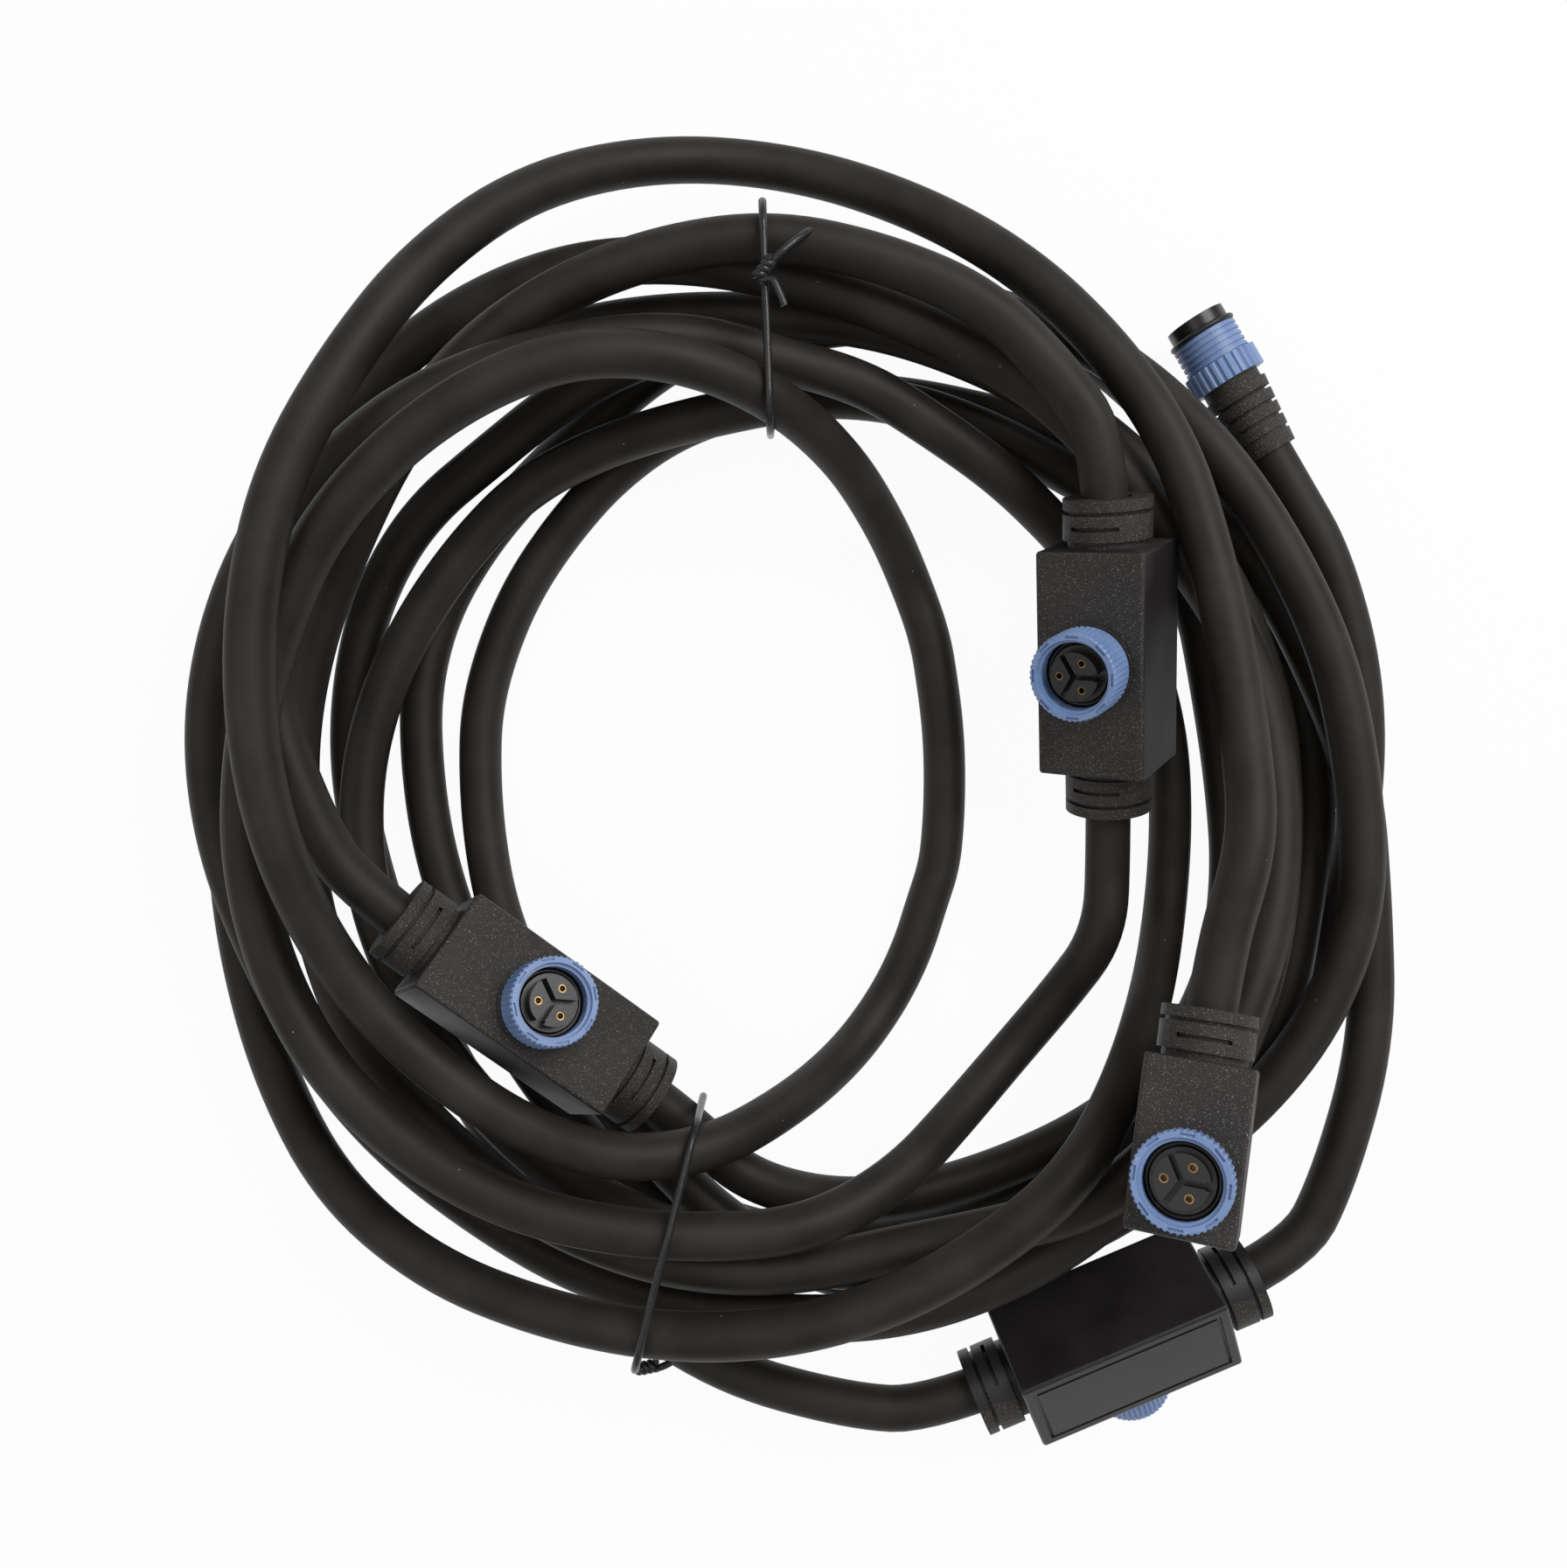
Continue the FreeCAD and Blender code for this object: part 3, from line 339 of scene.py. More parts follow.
@dataclass(frozen=True)
class TurnedBrass:
    """Turned brass of the contacts: dull warm metal with fine tool marks and tarnish."""

    name: str = "turned_brass"
    bright: str = "#a98f68"
    tarnish: str = "#7a6243"
    mark_mm: float = 0.15
    tarnish_mm: float = 1.2
    tarnish_from: float = 0.4
    tarnish_to: float = 0.75
    roughness: float = 0.24
    roughness_below: float = 0.06
    roughness_above: float = 0.12

    def material(self) -> bpy.types.Material:
        """Build the brass: tarnish in its colour, tool marks in its roughness.

        Returns:
            The brass's material.
        """
        material, tree = new_material(self.name)
        place = add_node(tree, "ShaderNodeTexCoord", {}, {}).outputs["Object"]
        spots = add_node(tree, "ShaderNodeTexNoise", {"Scale": pattern_scale(self.tarnish_mm)},
                         {"Vector": place})
        colour = add_node(tree, "ShaderNodeValToRGB", {}, {"Fac": spots.outputs["Fac"]},
                          stops=((self.tarnish_from, self.bright), (self.tarnish_to, self.tarnish)))
        marks = add_node(tree, "ShaderNodeTexNoise", {"Scale": pattern_scale(self.mark_mm)},
                         {"Vector": place})
        roughness = add_node(tree, "ShaderNodeMapRange",
                             {"To Min": self.roughness - self.roughness_below,
                              "To Max": self.roughness + self.roughness_above},
                             {"Value": marks.outputs["Fac"]})
        shader = add_node(tree, "ShaderNodeBsdfPrincipled", {"Metallic": 1.0},
                          {"Base Color": colour.outputs["Color"], "Roughness": roughness.outputs["Result"]})
        add_node(tree, "ShaderNodeOutputMaterial", {}, {"Surface": shader.outputs["BSDF"]})
        return material


@dataclass(frozen=True)
class StudioPaper:
    """White background paper: bright and even to the eye, with the object's soft shadow left on it."""

    name: str = "studio_paper"
    colour: str = "#f4f4f4"
    fibre: str = "#fafafa"
    glow_share: float = 0.95
    fibre_mm: float = 2.0

    def material(self) -> bpy.types.Material:
        """Build the paper: plain diffuse white for the light, mostly a white glow for what looks at it.

        Returns:
            The paper's material.
        """
        material, tree = new_material(self.name)
        place = add_node(tree, "ShaderNodeTexCoord", {}, {}).outputs["Object"]
        fibres = add_node(tree, "ShaderNodeTexNoise", {"Scale": pattern_scale(self.fibre_mm)},
                          {"Vector": place})
        colour = add_node(tree, "ShaderNodeValToRGB", {}, {"Fac": fibres.outputs["Fac"]},
                          stops=((0.0, self.colour), (1.0, self.fibre)))
        diffuse = add_node(tree, "ShaderNodeBsdfDiffuse", {}, {"Color": colour.outputs["Color"]})
        glow = add_node(tree, "ShaderNodeEmission", {"Strength": 1.0}, {})
        rays = add_node(tree, "ShaderNodeLightPath", {}, {}).outputs
        seen = add_node(tree, "ShaderNodeMath", {"operation": "ADD"},
                        {FIRST: rays["Is Camera Ray"], SECOND: rays["Is Glossy Ray"]})
        through = add_node(tree, "ShaderNodeMath", {"operation": "ADD"},
                           {FIRST: seen.outputs["Value"], SECOND: rays["Is Transmission Ray"]})
        share = add_node(tree, "ShaderNodeMath", {"operation": "MULTIPLY", SECOND: self.glow_share},
                         {FIRST: through.outputs["Value"]})
        mix = add_node(tree, "ShaderNodeMixShader", {},
                       {"Fac": share.outputs["Value"], SHADER_UNDER: diffuse.outputs["BSDF"],
                        SHADER_OVER: glow.outputs["Emission"]})
        add_node(tree, "ShaderNodeOutputMaterial", {}, {"Surface": mix.outputs["Shader"]})
        return material


@dataclass(frozen=True)
class Finishes:
    """Every material of the object, made once."""

    sheath: bpy.types.Material
    housing: bpy.types.Material
    shaded_smooth_housing: bpy.types.Material
    insert: bpy.types.Material
    carrier: bpy.types.Material
    nut: bpy.types.Material
    brass: bpy.types.Material
    seal: bpy.types.Material
    tie: bpy.types.Material


def make_finishes() -> Finishes:
    """Make the materials.

    Returns:
        The object's finishes.
    """
    # Spark-eroded ABS: a dull warm black, with tiny pale glints painted on its grain's tops as highlights,
    # where the real one glitters as the light grazes it.
    # Its real grain of about 0.1 mm is drawn three times as coarse, so that it shows.
    housing = MouldedPlastic("spark_eroded_abs", "#272320", "#322d29", "#96928c", Polish.SPARKED,
                             grain_mm=0.28, bump=0.75, painted_glint_from=0.6)
    # The same ABS out of a plain tool: smooth and satin, on the sides and the back of the boxes, in darker
    # colours that are painted shade on those sides.
    shaded_smooth_housing = MouldedPlastic("shaded_smooth_abs", "#201d1d", "#2a2626", "#393535", Polish.SATIN,
                                    grain_mm=0.5, bump=0.12, painted_glint_from=0.7)
    # Polished nylon: nearly black, with clear small highlights on the segments' edges, and painted glints on
    # its grain's tops.
    insert = MouldedPlastic("polished_nylon_66", "#1a1918", "#242220", "#3a3735", Polish.POLISHED,
                            grain_mm=0.8, bump=0.08, painted_glint_from=0.7)
    # Nylon filling in the boxes, which is hidden, in plain dark grey with painted glints on its grain's
    # tops.
    carrier = MouldedPlastic("filled_nylon", "#2f2f2f", "#383838", "#4a4a4a", Polish.SATIN,
                             grain_mm=0.8, bump=0.1, painted_glint_from=0.7)
    # Dyed nylon of the coupling nuts: periwinkle blue, satin, paler in random clouds, with pale painted
    # highlights on its grain's tops.
    nut = MouldedPlastic("dyed_nylon_periwinkle", "#7893c3", "#89a4d0", "#abc0e1", Polish.SATIN,
                         grain_mm=0.9, bump=0.12, painted_glint_from=0.66)
    # Moulded nitrile rubber of the sealing rings: smooth black with a soft highlight, and faint painted
    # glints on its grain's tops.
    seal = MouldedPlastic("nitrile_rubber", "#1b1b1b", "#232323", "#343434", Polish.SATIN,
                          grain_mm=0.5, bump=0.1, painted_glint_from=0.7, ior=1.52)
    # Soft PVC coat of the ties' wire: black, a little glossy, with small dents and painted glints on its
    # grain's tops.
    tie = MouldedPlastic("pvc_coated_wire", "#1c1b1a", "#272524", "#4b4845", Polish.POLISHED,
                         grain_mm=0.7, bump=0.3, painted_glint_from=0.68, ior=1.54)
    return Finishes(sheath=SheathRubber().material(), housing=housing.material(),
                    shaded_smooth_housing=shaded_smooth_housing.material(), insert=insert.material(),
                    carrier=carrier.material(), nut=nut.material(), brass=TurnedBrass().material(),
                    seal=seal.material(), tie=tie.material())


def dress(node: str, material: bpy.types.Material) -> None:
    """Give a carried-over node its material.

    Args:
        node: Name of the node.
        material: What it is made of.
    """
    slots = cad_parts[node].data.materials
    slots.clear()
    slots.append(material)
    LOG.info("dressed %s in %s", node, material.name)


def new_round_curve(name: str, radius: float, section_steps: int,
                    material: bpy.types.Material) -> bpy.types.Curve:
    """Start a curve with a round section that is closed at its ends.

    Args:
        name: The curve's name.
        radius: Radius of the section in millimetres.
        section_steps: How finely the section is drawn, as Blender counts it.
        material: What the curve is made of.

    Returns:
        The curve, without splines.
    """
    curve = bpy.data.curves.new(name, "CURVE")
    curve.dimensions = "3D"
    curve.bevel_depth = radius * MM
    curve.bevel_resolution = section_steps
    curve.use_fill_caps = True
    curve.materials.append(material)
    return curve


def add_spline(curve: bpy.types.Curve, places: list[Vector]) -> None:
    """Add an open NURBS spline that reaches its first and last points.

    Args:
        curve: The curve that takes the spline.
        places: The spline's points in millimetres.
    """
    spline = curve.splines.new("NURBS")
    spline.points.add(len(places) - 1)
    for point, place in zip(spline.points, places):
        point.co = (*(place * MM), 1.0)
    spline.order_u = SPLINE_ORDER
    spline.use_endpoint_u = True


def add_object(name: str, data: bpy.types.ID) -> bpy.types.Object:
    """Put a mesh, curve, light or camera into the scene as an object.

    Args:
        name: The object's name.
        data: What the object holds.

    Returns:
        The new object.
    """
    piece = bpy.data.objects.new(name, data)
    bpy.context.scene.collection.objects.link(piece)
    return piece


@dataclass
class SocketBox:
    """Moulded box with a socket on one face, on one or two cables."""

    name: str
    # Middle of the box on its socket's axis, from the coil's middle
    middle: Vector
    # In degrees: where its long axis points seen from above, how it rises, and how far the socket leans
    turn: float
    climb: float
    lean: float
    length: float = 46.6
    # How far along the long axis the box's own middle lies from its socket's
    shift: float = 0.0
    collar_length: float = 9.6
    pocket_margin: float = 7.0
    # A polygon stays grained this near the long axis, or with this cosine to the way out of the socket; the
    # others get the darker smooth finish, whose colour is painted shade
    collar_reach: float = 9.3
    face_cosine: float = 0.5

    def along(self) -> Vector:
        """Direction of the box's long axis."""
        turn, climb = math.radians(self.turn), math.radians(self.climb)
        return Vector((math.cos(turn) * math.cos(climb), math.sin(turn) * math.cos(climb), math.sin(climb)))

    def out(self) -> Vector:
        """Direction out of its socket."""
        turn, lean = math.radians(self.turn), math.radians(self.lean)
        left = Vector((-math.sin(turn), math.cos(turn), 0.0))
        return self.along().cross(left) * math.cos(lean) + left * math.sin(lean)

    def cable_end(self, side: int) -> tuple[Vector, Vector, Vector]:
        """Where a cable sits in one end of the box.

        Args:
            side: 1 for the end that the long axis points to, -1 for the other.

        Returns:
            The seat in the box, the collar's mouth, and the way out.
        """
        way = self.along() * side
        middle = COIL_MIDDLE + self.middle + self.along() * self.shift
        return (middle + way * (self.length / 2 - self.pocket_margin),
                middle + way * (self.length / 2 + self.collar_length), way)

    def smooth_and_shade_sides(self, finishes: Finishes) -> None:
        """Make most of the box's sides and back smooth and darker, with painted shade, and leave its face
        and most of its collars grained.

        Distances are taken from an axis through self.middle without COIL_MIDDLE. It runs about 3 mm
        beside the box's own axis, so strips of the collars turn smooth and strips of the sides stay grained.

        Args:
            finishes: The object's finishes.
        """
        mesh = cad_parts[self.name + "_body"].data
        mesh.materials.append(finishes.shaded_smooth_housing)
        smooth = len(mesh.materials) - 1
        along, out = self.along(), self.out()
        for polygon in mesh.polygons:
            place = polygon.center / MM - self.middle
            off_axis = (place - along * place.dot(along)).length
            if off_axis > self.collar_reach and polygon.normal.dot(out) < self.face_cosine:
                # Painted shade: these side polygons get the darker smooth housing
                polygon.material_index = smooth

    def dress(self, finishes: Finishes) -> None:
        """Dress the box's nodes.

        Args:
            finishes: The object's finishes.
        """
        dress(self.name + "_body", finishes.housing)
        self.smooth_and_shade_sides(finishes)
        dress(self.name + "_carrier", finishes.carrier)
        dress(self.name + "_insert", finishes.insert)
        dress(self.name + "_contacts", finishes.brass)
        dress(self.name + "_seal", finishes.seal)
        dress(self.name + "_nut", finishes.nut)


@dataclass
class Plug:
    """Threaded plug at the end of the last cable."""

    # Middle of the plug's rim, from the coil's middle, and where it points seen from above, in degrees
    rim: Vector = field(default_factory=lambda: Vector((93.0, 103.3, 8.8)))
    turn: float = 120.0
    length: float = 34.4
    grip_length: float = 16.0

    def out(self) -> Vector:
        """Direction out of the plug's mouth."""
        return Vector((math.cos(math.radians(self.turn)), math.sin(math.radians(self.turn)), 0.0))

    def cable_end(self) -> tuple[Vector, Vector, Vector]:
        """Where the cable sits in the grip.

        Returns:
            The seat in the grip, the grip's mouth, and the way out.
        """
        rim = COIL_MIDDLE + self.rim
        return (rim - self.out() * (self.length - self.grip_length), rim - self.out() * self.length,
                self.out() * -1)

    def dress(self, finishes: Finishes) -> None:
        """Dress the plug's nodes.

        Args:
            finishes: The object's finishes.
        """
        dress("plug_sleeve", finishes.insert)
        dress("plug_pins", finishes.brass)
        dress("plug_thread", finishes.nut)
        dress("plug_seal", finishes.seal)
        dress("plug_grip", finishes.housing)


@dataclass
class Sample:
    """One place on a cable's line while the heap is laid."""

    direction: float
    level: float
    x: float
    y: float
    z: float
    needs: list[tuple["Sample", float]] = field(default_factory=list)


def floor_height(name: str, direction: float) -> float:
    """Least height of a strand's middle: on the surface, on a tie's wire, or over a box.

    Args:
        name: The cable's name.
        direction: Direction in degrees, counted on from the cable's start.

    Returns:
        Height in millimetres.
    """
    height = CABLE_RADIUS - REST_FLAT
    for tie in TIE_DIRECTIONS.values():
        away = abs((direction - tie + 180) % 360 - 180)
        if away < TIE_LIFT_HALF_WIDTH:
            height = CABLE_RADIUS + TIE_DIAMETER + TIE_CLEARANCE
    for raised, low, high, least in RAISED:
        if raised == name and low <= direction <= high:
            height = least
    return height


def spread(values: list[float], width: int) -> list[float]:
    """Moving highest value, then moving mean, over the same width: smooth, and never too low.

    Args:
        values: Heights along a cable.
        width: How many neighbours count on each side.

    Returns:
        As many heights, smoothed.
    """
    tops = [max(values[max(0, i - width):i + width + 1]) for i in range(len(values))]
    padded = [tops[0]] * width + tops + [tops[-1]] * width
    return [sum(padded[i:i + 2 * width + 1]) / (2 * width + 1) for i in range(len(values))]


@dataclass
class CableRun:
    """One stretch of cable between two seats, laid round the coil."""

    name: str
    node: str
    level: float
    turns: tuple[tuple[tuple[int, int], ...], ...]
    start: tuple[Vector, Vector, Vector]
    finish: tuple[Vector, Vector, Vector]
    length_mm: float
    far_end: str = "object"
    # How finely the spline is drawn, round it and along it
    section_steps: int = 7
    steps_between_points: int = 8
    samples: list[Sample] = field(default_factory=list)

    def unrolled(self) -> list[tuple[float, float]]:
        """The cable's turns as a single list whose directions keep growing."""
        return [(direction + 360 * count, distance) for count, turn in enumerate(self.turns)
                for direction, distance in turn]

    def distance_at(self, points: list[tuple[float, float]], direction: float) -> float:
        """Distance from the coil's middle, on a smooth curve through the cable's list.

        Args:
            points: The unrolled list.
            direction: Direction in degrees.

        Returns:
            Distance in millimetres.
        """
        last = len(points) - 2
        place = 0
        while place < last and direction >= points[place + 1][0]:
            place += 1

        def slope(index: int) -> float:
            """Slope of the list at one of its points."""
            low, high = max(index - 1, 0), min(index + 1, len(points) - 1)
            return (points[high][1] - points[low][1]) / (points[high][0] - points[low][0])

        span = points[place + 1][0] - points[place][0]
        t = (direction - points[place][0]) / span
        start, end = points[place][1], points[place + 1][1]
        return ((2 * t ** 3 - 3 * t ** 2 + 1) * start + (t ** 3 - 2 * t ** 2 + t) * span * slope(place)
                + (3 * t ** 2 - 2 * t ** 3) * end + (t ** 3 - t ** 2) * span * slope(place + 1))

    def level_at(self, first: float, direction: float) -> float:
        """Level in the heap: it falls by one a turn, and more slowly on the lifted stretches.

        Args:
            first: Direction of the cable's start in degrees.
            direction: Direction in degrees.

        Returns:
            The level. A higher one lies on a lower one.
        """
        for lifted, low, high, level in LIFTED:
            if lifted == self.name and low <= direction <= high:
                return level - (direction - low) / (360 * LIFTED_TURNS_PER_LEVEL)
        return self.level - (direction - first) / 360

    def take_samples(self) -> None:
        """Place the samples along the route, all on the floor."""
        points = self.unrolled()
        first, last = points[0][0], points[-1][0]
        blocks = round((last - first) / 360 * SAMPLES_PER_TURN / SAMPLES_PER_POINT)
        count = blocks * SAMPLES_PER_POINT
        for index in range(count + 1):
            direction = first + (last - first) * index / count
            distance = self.distance_at(points, direction)
            angle = math.radians(direction)
            self.samples.append(Sample(direction, self.level_at(first, direction),
                                       distance * math.cos(angle), distance * math.sin(angle),
                                       floor_height(self.name, direction)))

    def route(self) -> list[Vector]:
        """The route's points, as in the part's source: from one seat round the coil to the other.

        Returns:
            The spline's points in millimetres.
        """
        points = [COIL_MIDDLE + Vector((s.x, s.y, s.z)) for s in self.samples[::SAMPLES_PER_POINT]]
        seat_a, mouth_a, way_a = self.start
        seat_b, mouth_b, way_b = self.finish
        points = [mouth_a + way_a * END_LEAD] + points + [mouth_b + way_b * END_LEAD]
        moved = [points[0]]
        for before, corner, after in zip(points, points[1:], points[2:]):
            inward, onward = (before - corner).normalized(), (after - corner).normalized()
            half_turn = (math.pi - inward.angle(onward)) / 2
            radius = ARC_SHARE * min((before - corner).length, (after - corner).length) / math.tan(half_turn)
            cut = (inward + onward).normalized() * (radius / math.cos(half_turn) - radius)
            place = corner - cut
            moved.append(Vector((place.x, place.y, max(place.z, CABLE_RADIUS))))
        return [seat_a] + moved + [points[-1], seat_b]

    def build(self, material: bpy.types.Material) -> bpy.types.Object:
        """Make the cable as one spline with a round section.

        Args:
            material: The sheath's rubber.

        Returns:
            The cable's object.
        """
        name = self.name + "_cable"
        curve = new_round_curve(name, CABLE_RADIUS, self.section_steps, material)
        curve.resolution_u = self.steps_between_points
        curve.twist_mode = "MINIMUM"
        add_spline(curve, self.route())
        cable = add_object(name, curve)
        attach(cable, "cord")
        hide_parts(self.node)
        return cable


@dataclass
class CableHeap:
    """The four cables in their order along the product, each strand laid on those below it."""

    runs: list[CableRun]

    def find_crossings(self) -> None:
        """Note for each sample the lower strands that it lies on, and how far above them it has to be."""
        reach = CABLE_DIAMETER + STRAND_GAP
        cells: dict[tuple[int, int], list[tuple[str, Sample]]] = {}
        for run in self.runs:
            for sample in run.samples:
                cell = (int(sample.x // reach), int(sample.y // reach))
                cells.setdefault(cell, []).append((run.name, sample))
        for run in self.runs:
            for sample in run.samples:
                column, row = int(sample.x // reach), int(sample.y // reach)
                near = [entry for i in (column - 1, column, column + 1) for j in (row - 1, row, row + 1)
                        for entry in cells.get((i, j), [])]
                for name, other in near:
                    apart = math.hypot(sample.x - other.x, sample.y - other.y)
                    same = name == run.name and abs(sample.direction - other.direction) < OWN_STRETCH
                    if not same and apart < reach and other.level < sample.level:
                        sample.needs.append((other, math.sqrt(reach ** 2 - apart ** 2)))

    def lay(self) -> None:
        """Raise every strand onto those below it, in rounds."""
        for run in self.runs:
            run.take_samples()
        self.find_crossings()
        for _ in range(HEAP_ROUNDS):
            raised = []
            for run in self.runs:
                needed = [max([floor_height(run.name, sample.direction)]
                              + [other.z + rise for other, rise in sample.needs])
                          for sample in run.samples]
                needed[0] = max(needed[0], run.start[1].z)
                needed[-1] = max(needed[-1], run.finish[1].z)
                raised.append(spread(needed, SMOOTH_SAMPLES))
            for run, heights in zip(self.runs, raised):
                for sample, height in zip(run.samples, heights):
                    sample.z = height

    def build(self, finishes: Finishes) -> None:
        """Args:
            finishes: The object's finishes.
        """
        self.lay()
        for run in self.runs:
            cable = run.build(finishes.sheath)
            LOG.info("laid %s, %d points", run.name, len(run.samples) // SAMPLES_PER_POINT)


@dataclass
class TwistTie:
    """Coated wire round the coil, its two ends twisted together and cut off."""

    node: str
    direction: float
    knot_reach: float
    twist_azimuth: float
    twist_length: float
    # Each wire's free end, as steps in millimetres from where it leaves the twist
    tails: tuple[tuple[tuple[float, float, float], ...], ...]
    knot_offset: tuple[float, float, float] = (0.0, 0.0, 0.0)
    wire_radius: float = TIE_DIAMETER / 2
    twist_pitch: float = 2.6
    steps_per_turn: int = 8
    section_steps: int = 4

    def level_way(self, azimuth: float) -> Vector:
        """Level direction at an azimuth in degrees."""
        return Vector((math.cos(math.radians(azimuth)), math.sin(math.radians(azimuth)), 0.0))

    def knot_place(self) -> Vector:
        """Top of the loop where it is tied, knot_reach from the coil's middle, moved by knot_offset.

        Returns:
            The place in millimetres.
        """
        way = self.level_way(self.direction)
        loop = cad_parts[self.node]
        outermost = max((vertex.co / MM - COIL_MIDDLE).dot(way) for vertex in loop.data.vertices)
        reach = min(self.knot_reach, outermost - self.wire_radius)
        above = COIL_MIDDLE + way * reach + Vector((0.0, 0.0, ABOVE_HEAP))
        hit, place, *_ = loop.ray_cast(above * MM, Vector((0.0, 0.0, -1.0)))
        if not hit:
            raise ValueError(f"no wire of {self.node} at {reach:.1f} mm")
        return place / MM + Vector(self.knot_offset)

    def twist(self, start: Vector, index: int) -> list[Vector]:
        """Points of one wire in the twist.

        Args:
            start: Where the twist begins, in millimetres.
            index: 0 for the first wire, 1 for the one opposite it.

        Returns:
            The wire's points in millimetres.
        """
        way = self.level_way(self.twist_azimuth)
        side = self.level_way(self.twist_azimuth + 90)
        turns = self.twist_length / self.twist_pitch
        steps = round(turns * self.steps_per_turn)
        places = []
        for step in range(steps + 1):
            angle = 2 * math.pi * turns * step / steps + math.pi * index
            round_axis = side * math.cos(angle) + Vector((0.0, 0.0, 1.0)) * math.sin(angle)
            places.append(start + way * (self.twist_length * step / steps) + round_axis * self.wire_radius)
        return places

    def build(self, finishes: Finishes) -> None:
        """Make the knot: two wires wound round each other, each with its tail at its own end of the twist.

        Args:
            finishes: The object's finishes.
        """
        dress(self.node, finishes.tie)
        middle = self.knot_place()
        start = middle - self.level_way(self.twist_azimuth) * (self.twist_length / 2)
        name = self.node + "_knot"
        curve = new_round_curve(name, self.wire_radius, self.section_steps, finishes.tie)
        for index, tail in enumerate(self.tails):
            places = self.twist(start, index)
            if index == 1:
                places.reverse()
            root = places[-1]
            add_spline(curve, places + [root + Vector(step) for step in tail])
        knot = add_object(name, curve)
        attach(knot, "cord")
        LOG.info("twisted %s", knot.name)


@dataclass
class Studio:
    """Paper, lamps and camera."""

    # The camera, in millimetres: it sees half_width to each side, at a cable's radius above the paper
    camera_offset: Vector = field(default_factory=lambda: Vector((0.2, -1.3, 0.0)))
    camera_height: float = 330.0
    half_width: float = 179.2
    sensor_mm: float = 36.0
    nearest_seen: float = 10.0
    # The paper and the lamps, in metres and watts
    paper_half: float = 1.6
    paper_steps: int = 8
    key_place: tuple[float, float, float] = (0.42, 0.38, 0.75)
    key_size: float = 0.55
    key_power: float = 4.6
    fill_place: tuple[float, float, float] = (-0.5, -0.1, 0.8)
    fill_size: float = 0.7
    fill_power: float = 1.0
    lamp_target: tuple[float, float, float] = (0.0, 0.0, 0.02)
    room_colour: str = "#ffffff"
    room_strength: float = 0.35

    def build_paper(self) -> None:
        """Lay the paper under the object."""
        mesh = bpy.data.meshes.new("studio_paper")
        half, steps = self.paper_half, self.paper_steps
        corners = [(-half + 2 * half * i / steps, -half + 2 * half * j / steps, 0.0)
                   for j in range(steps + 1) for i in range(steps + 1)]
        faces = [(j * (steps + 1) + i, j * (steps + 1) + i + 1, (j + 1) * (steps + 1) + i + 1,
                  (j + 1) * (steps + 1) + i) for j in range(steps) for i in range(steps)]
        mesh.from_pydata(corners, [], faces)
        mesh.materials.append(StudioPaper().material())
        paper = add_object("studio_paper", mesh)
        LOG.info("laid the paper")

    def build_lamp(self, name: str, place: tuple[float, float, float], size: float, power: float) -> None:
        """Hang a soft square lamp that looks at the coil.

        Args:
            name: The lamp's name.
            place: Where it hangs, in metres.
            size: Length of its sides in metres.
            power: Its power in watts.
        """
        light = bpy.data.lights.new(name, "AREA")
        light.shape = "SQUARE"
        light.size = size
        light.energy = power
        lamp = add_object(name, light)
        lamp.location = place
        lamp.rotation_euler = (Vector(self.lamp_target) - Vector(place)).to_track_quat("-Z", "Y").to_euler()

    def build_lights(self) -> None:
        """Hang the key and the fill, and set the room's light."""
        self.build_lamp("key_softbox", self.key_place, self.key_size, self.key_power)
        self.build_lamp("fill_softbox", self.fill_place, self.fill_size, self.fill_power)
        world = bpy.data.worlds.new("studio_room")
        world.use_nodes = True
        background = world.node_tree.nodes["Background"]
        background.inputs["Color"].default_value = linear(self.room_colour)
        background.inputs["Strength"].default_value = self.room_strength
        bpy.context.scene.world = world
        LOG.info("hung the lamps")

    def build_camera(self) -> None:
        """Set the camera straight above the coil, where the photograph was taken from."""
        half_field = self.half_width / (self.camera_height - CABLE_RADIUS)
        camera = bpy.data.cameras.new("camera")
        camera.sensor_fit = "HORIZONTAL"
        camera.sensor_width = self.sensor_mm
        camera.lens = self.sensor_mm / 2 / half_field
        camera.clip_start = self.nearest_seen * MM
        rig = add_object("camera", camera)
        rig.location = (COIL_MIDDLE + self.camera_offset + Vector((0.0, 0.0, self.camera_height))) * MM
        bpy.context.scene.camera = rig
        LOG.info("set the camera")

    def build(self) -> None:
        """Build the whole studio."""
        self.build_paper()
        self.build_lights()
        self.build_camera()
        bpy.context.scene.view_settings.view_transform = "Standard"


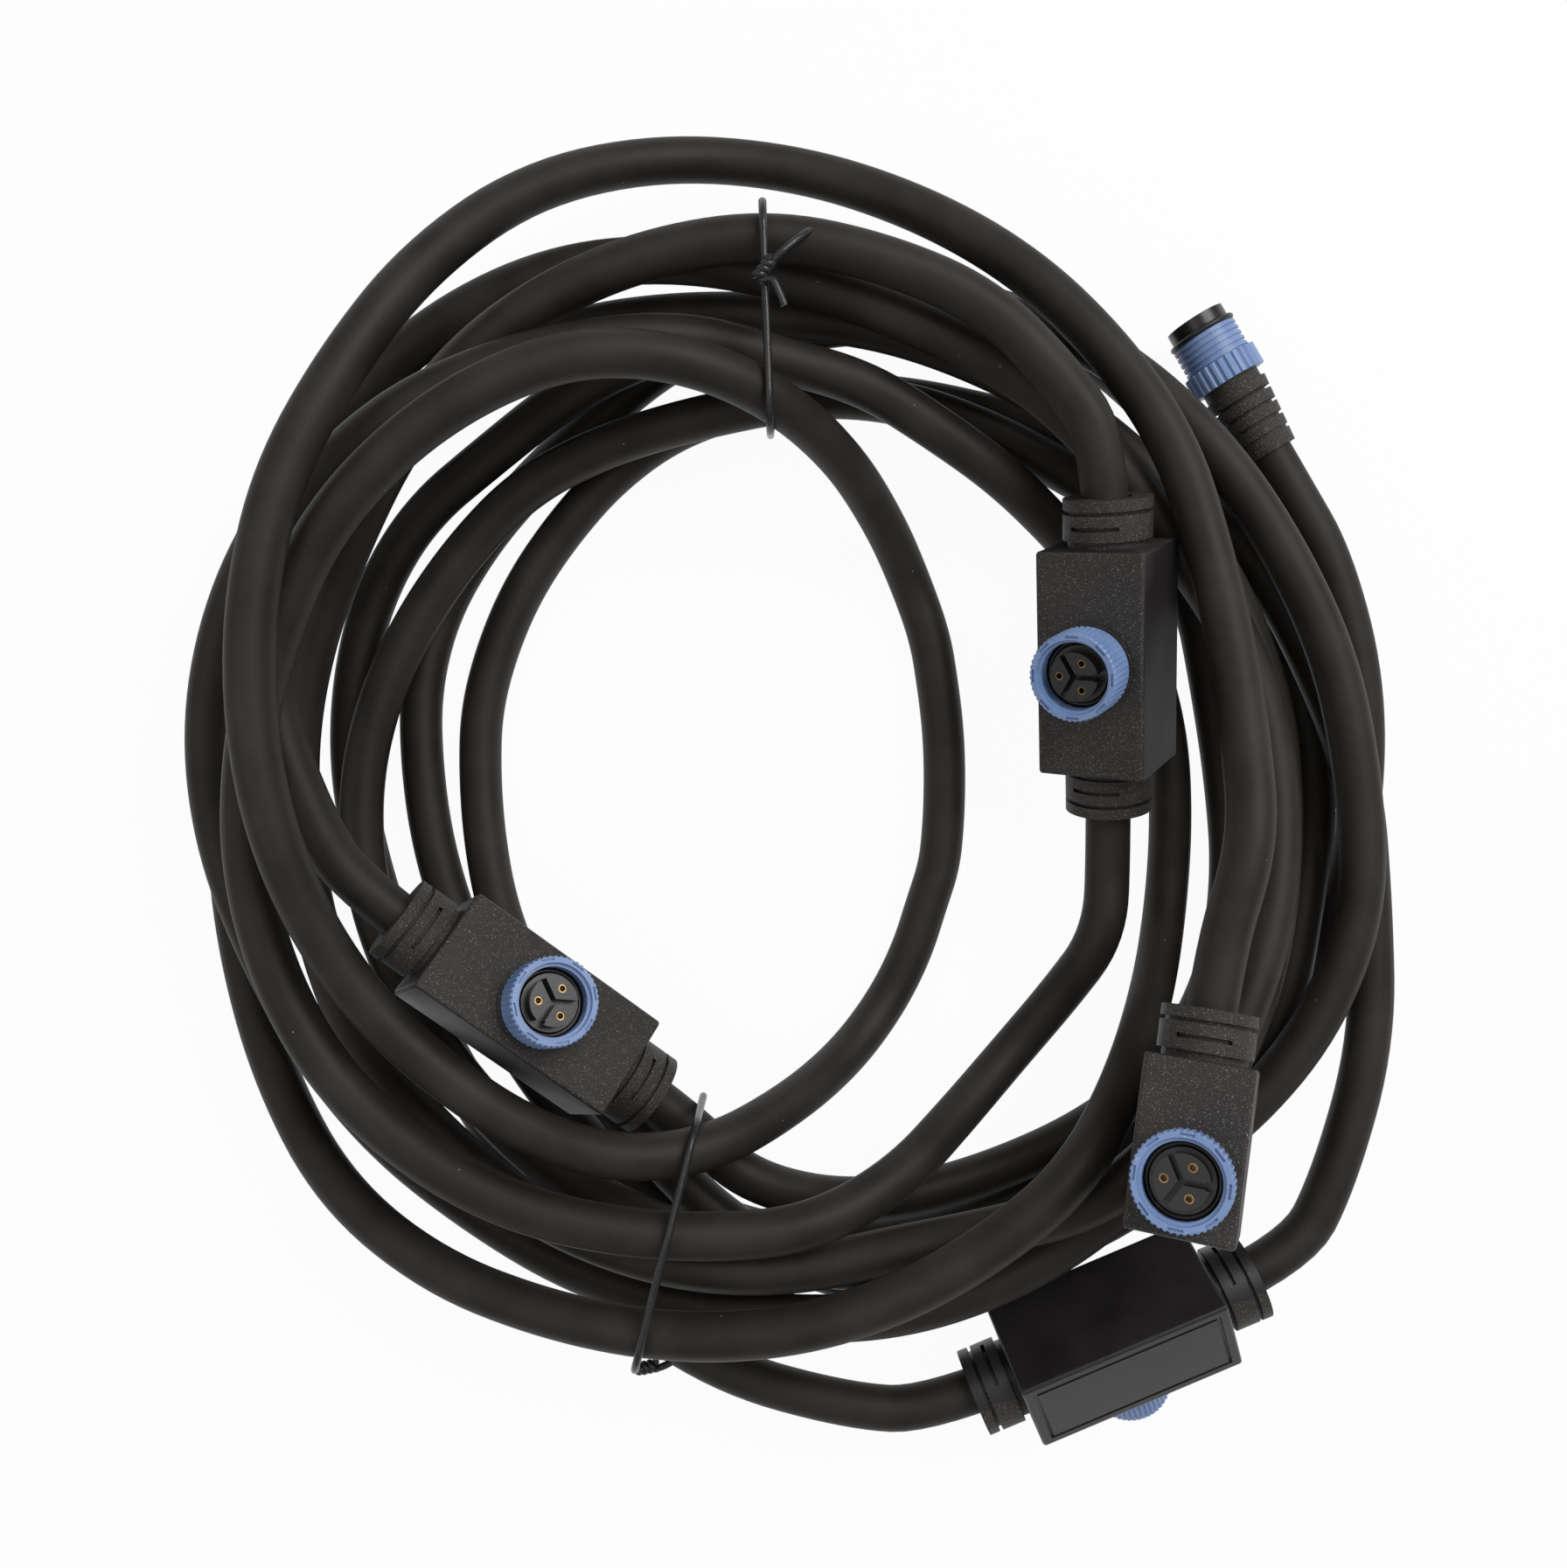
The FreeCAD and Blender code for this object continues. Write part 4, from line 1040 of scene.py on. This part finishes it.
def main() -> None:
    """Build the studio, then the boxes, the plug, the cables and the ties."""
    logging.basicConfig(level=logging.INFO, format="%(name)s: %(message)s")
    Studio().build()
    finishes = make_finishes()
    right = SocketBox("tee_right", middle=Vector((67.8, 25.2, 33.8)), turn=94.0, climb=16.5, lean=33.0)
    left = SocketBox("tee_left", middle=Vector((-53.3, -48.0, 33.4)), turn=-38.2, climb=-13.5, lean=25.0)
    low = SocketBox("tee_low", middle=Vector((71.9, -121.0, 20.4)), turn=22.9, climb=0.0, lean=-125.0)
    end = SocketBox("end_box", middle=Vector((76.3, -74.5, 63.4)), turn=80.2, climb=-8.0, lean=21.0,
                    length=32.1, shift=5.2)
    plug = Plug()
    for box in (right, left, low, end):
        box.dress(finishes)
    plug.dress(finishes)
    CableHeap([
        CableRun("end", "cable_end", level=50.0, turns=END_CABLE_TURNS, start=end.cable_end(1),
                 finish=right.cable_end(-1), length_mm=1254),
        CableRun("first", "cable_first", level=30.0, turns=FIRST_CABLE_TURNS, start=right.cable_end(1),
                 finish=left.cable_end(-1), length_mm=2403),
        CableRun("second", "cable_second", level=20.0, turns=SECOND_CABLE_TURNS, start=left.cable_end(1),
                 finish=low.cable_end(-1), length_mm=1415),
        CableRun("plug", "cable_plug", level=10.0, turns=PLUG_CABLE_TURNS, start=low.cable_end(1),
                 finish=plug.cable_end(), length_mm=1498, far_end="plug"),
    ]).build(finishes)
    TwistTie("tie_top", TIE_DIRECTIONS["tie_top"], knot_reach=98.5, twist_azimuth=52.0, twist_length=4.6,
             tails=(((2.5, 2.0, 0.4), (5.5, 4.7, -0.4), (8.0, 7.4, -3.0), (9.2, 8.8, -7.5),
                     (9.6, 9.4, -14.0)),
                    ((2.2, 0.2, 0.9), (3.4, -2.0, 0.9), (4.6, -5.0, 0.6)))).build(finishes)
    TwistTie("tie_bottom", TIE_DIRECTIONS["tie_bottom"], knot_reach=145.0, twist_azimuth=12.0,
             twist_length=4.0, knot_offset=(2.0, -2.6, 0.2),
             tails=(((2.0, 0.7, 0.0), (4.0, 1.7, -0.8), (5.6, 3.6, -2.5)),
                    ((-0.9, 0.6, 0.0), (-1.1, 1.8, 0.3), (-0.3, 2.9, 0.6)))).build(finishes)


if __name__ == "__main__":
    main()
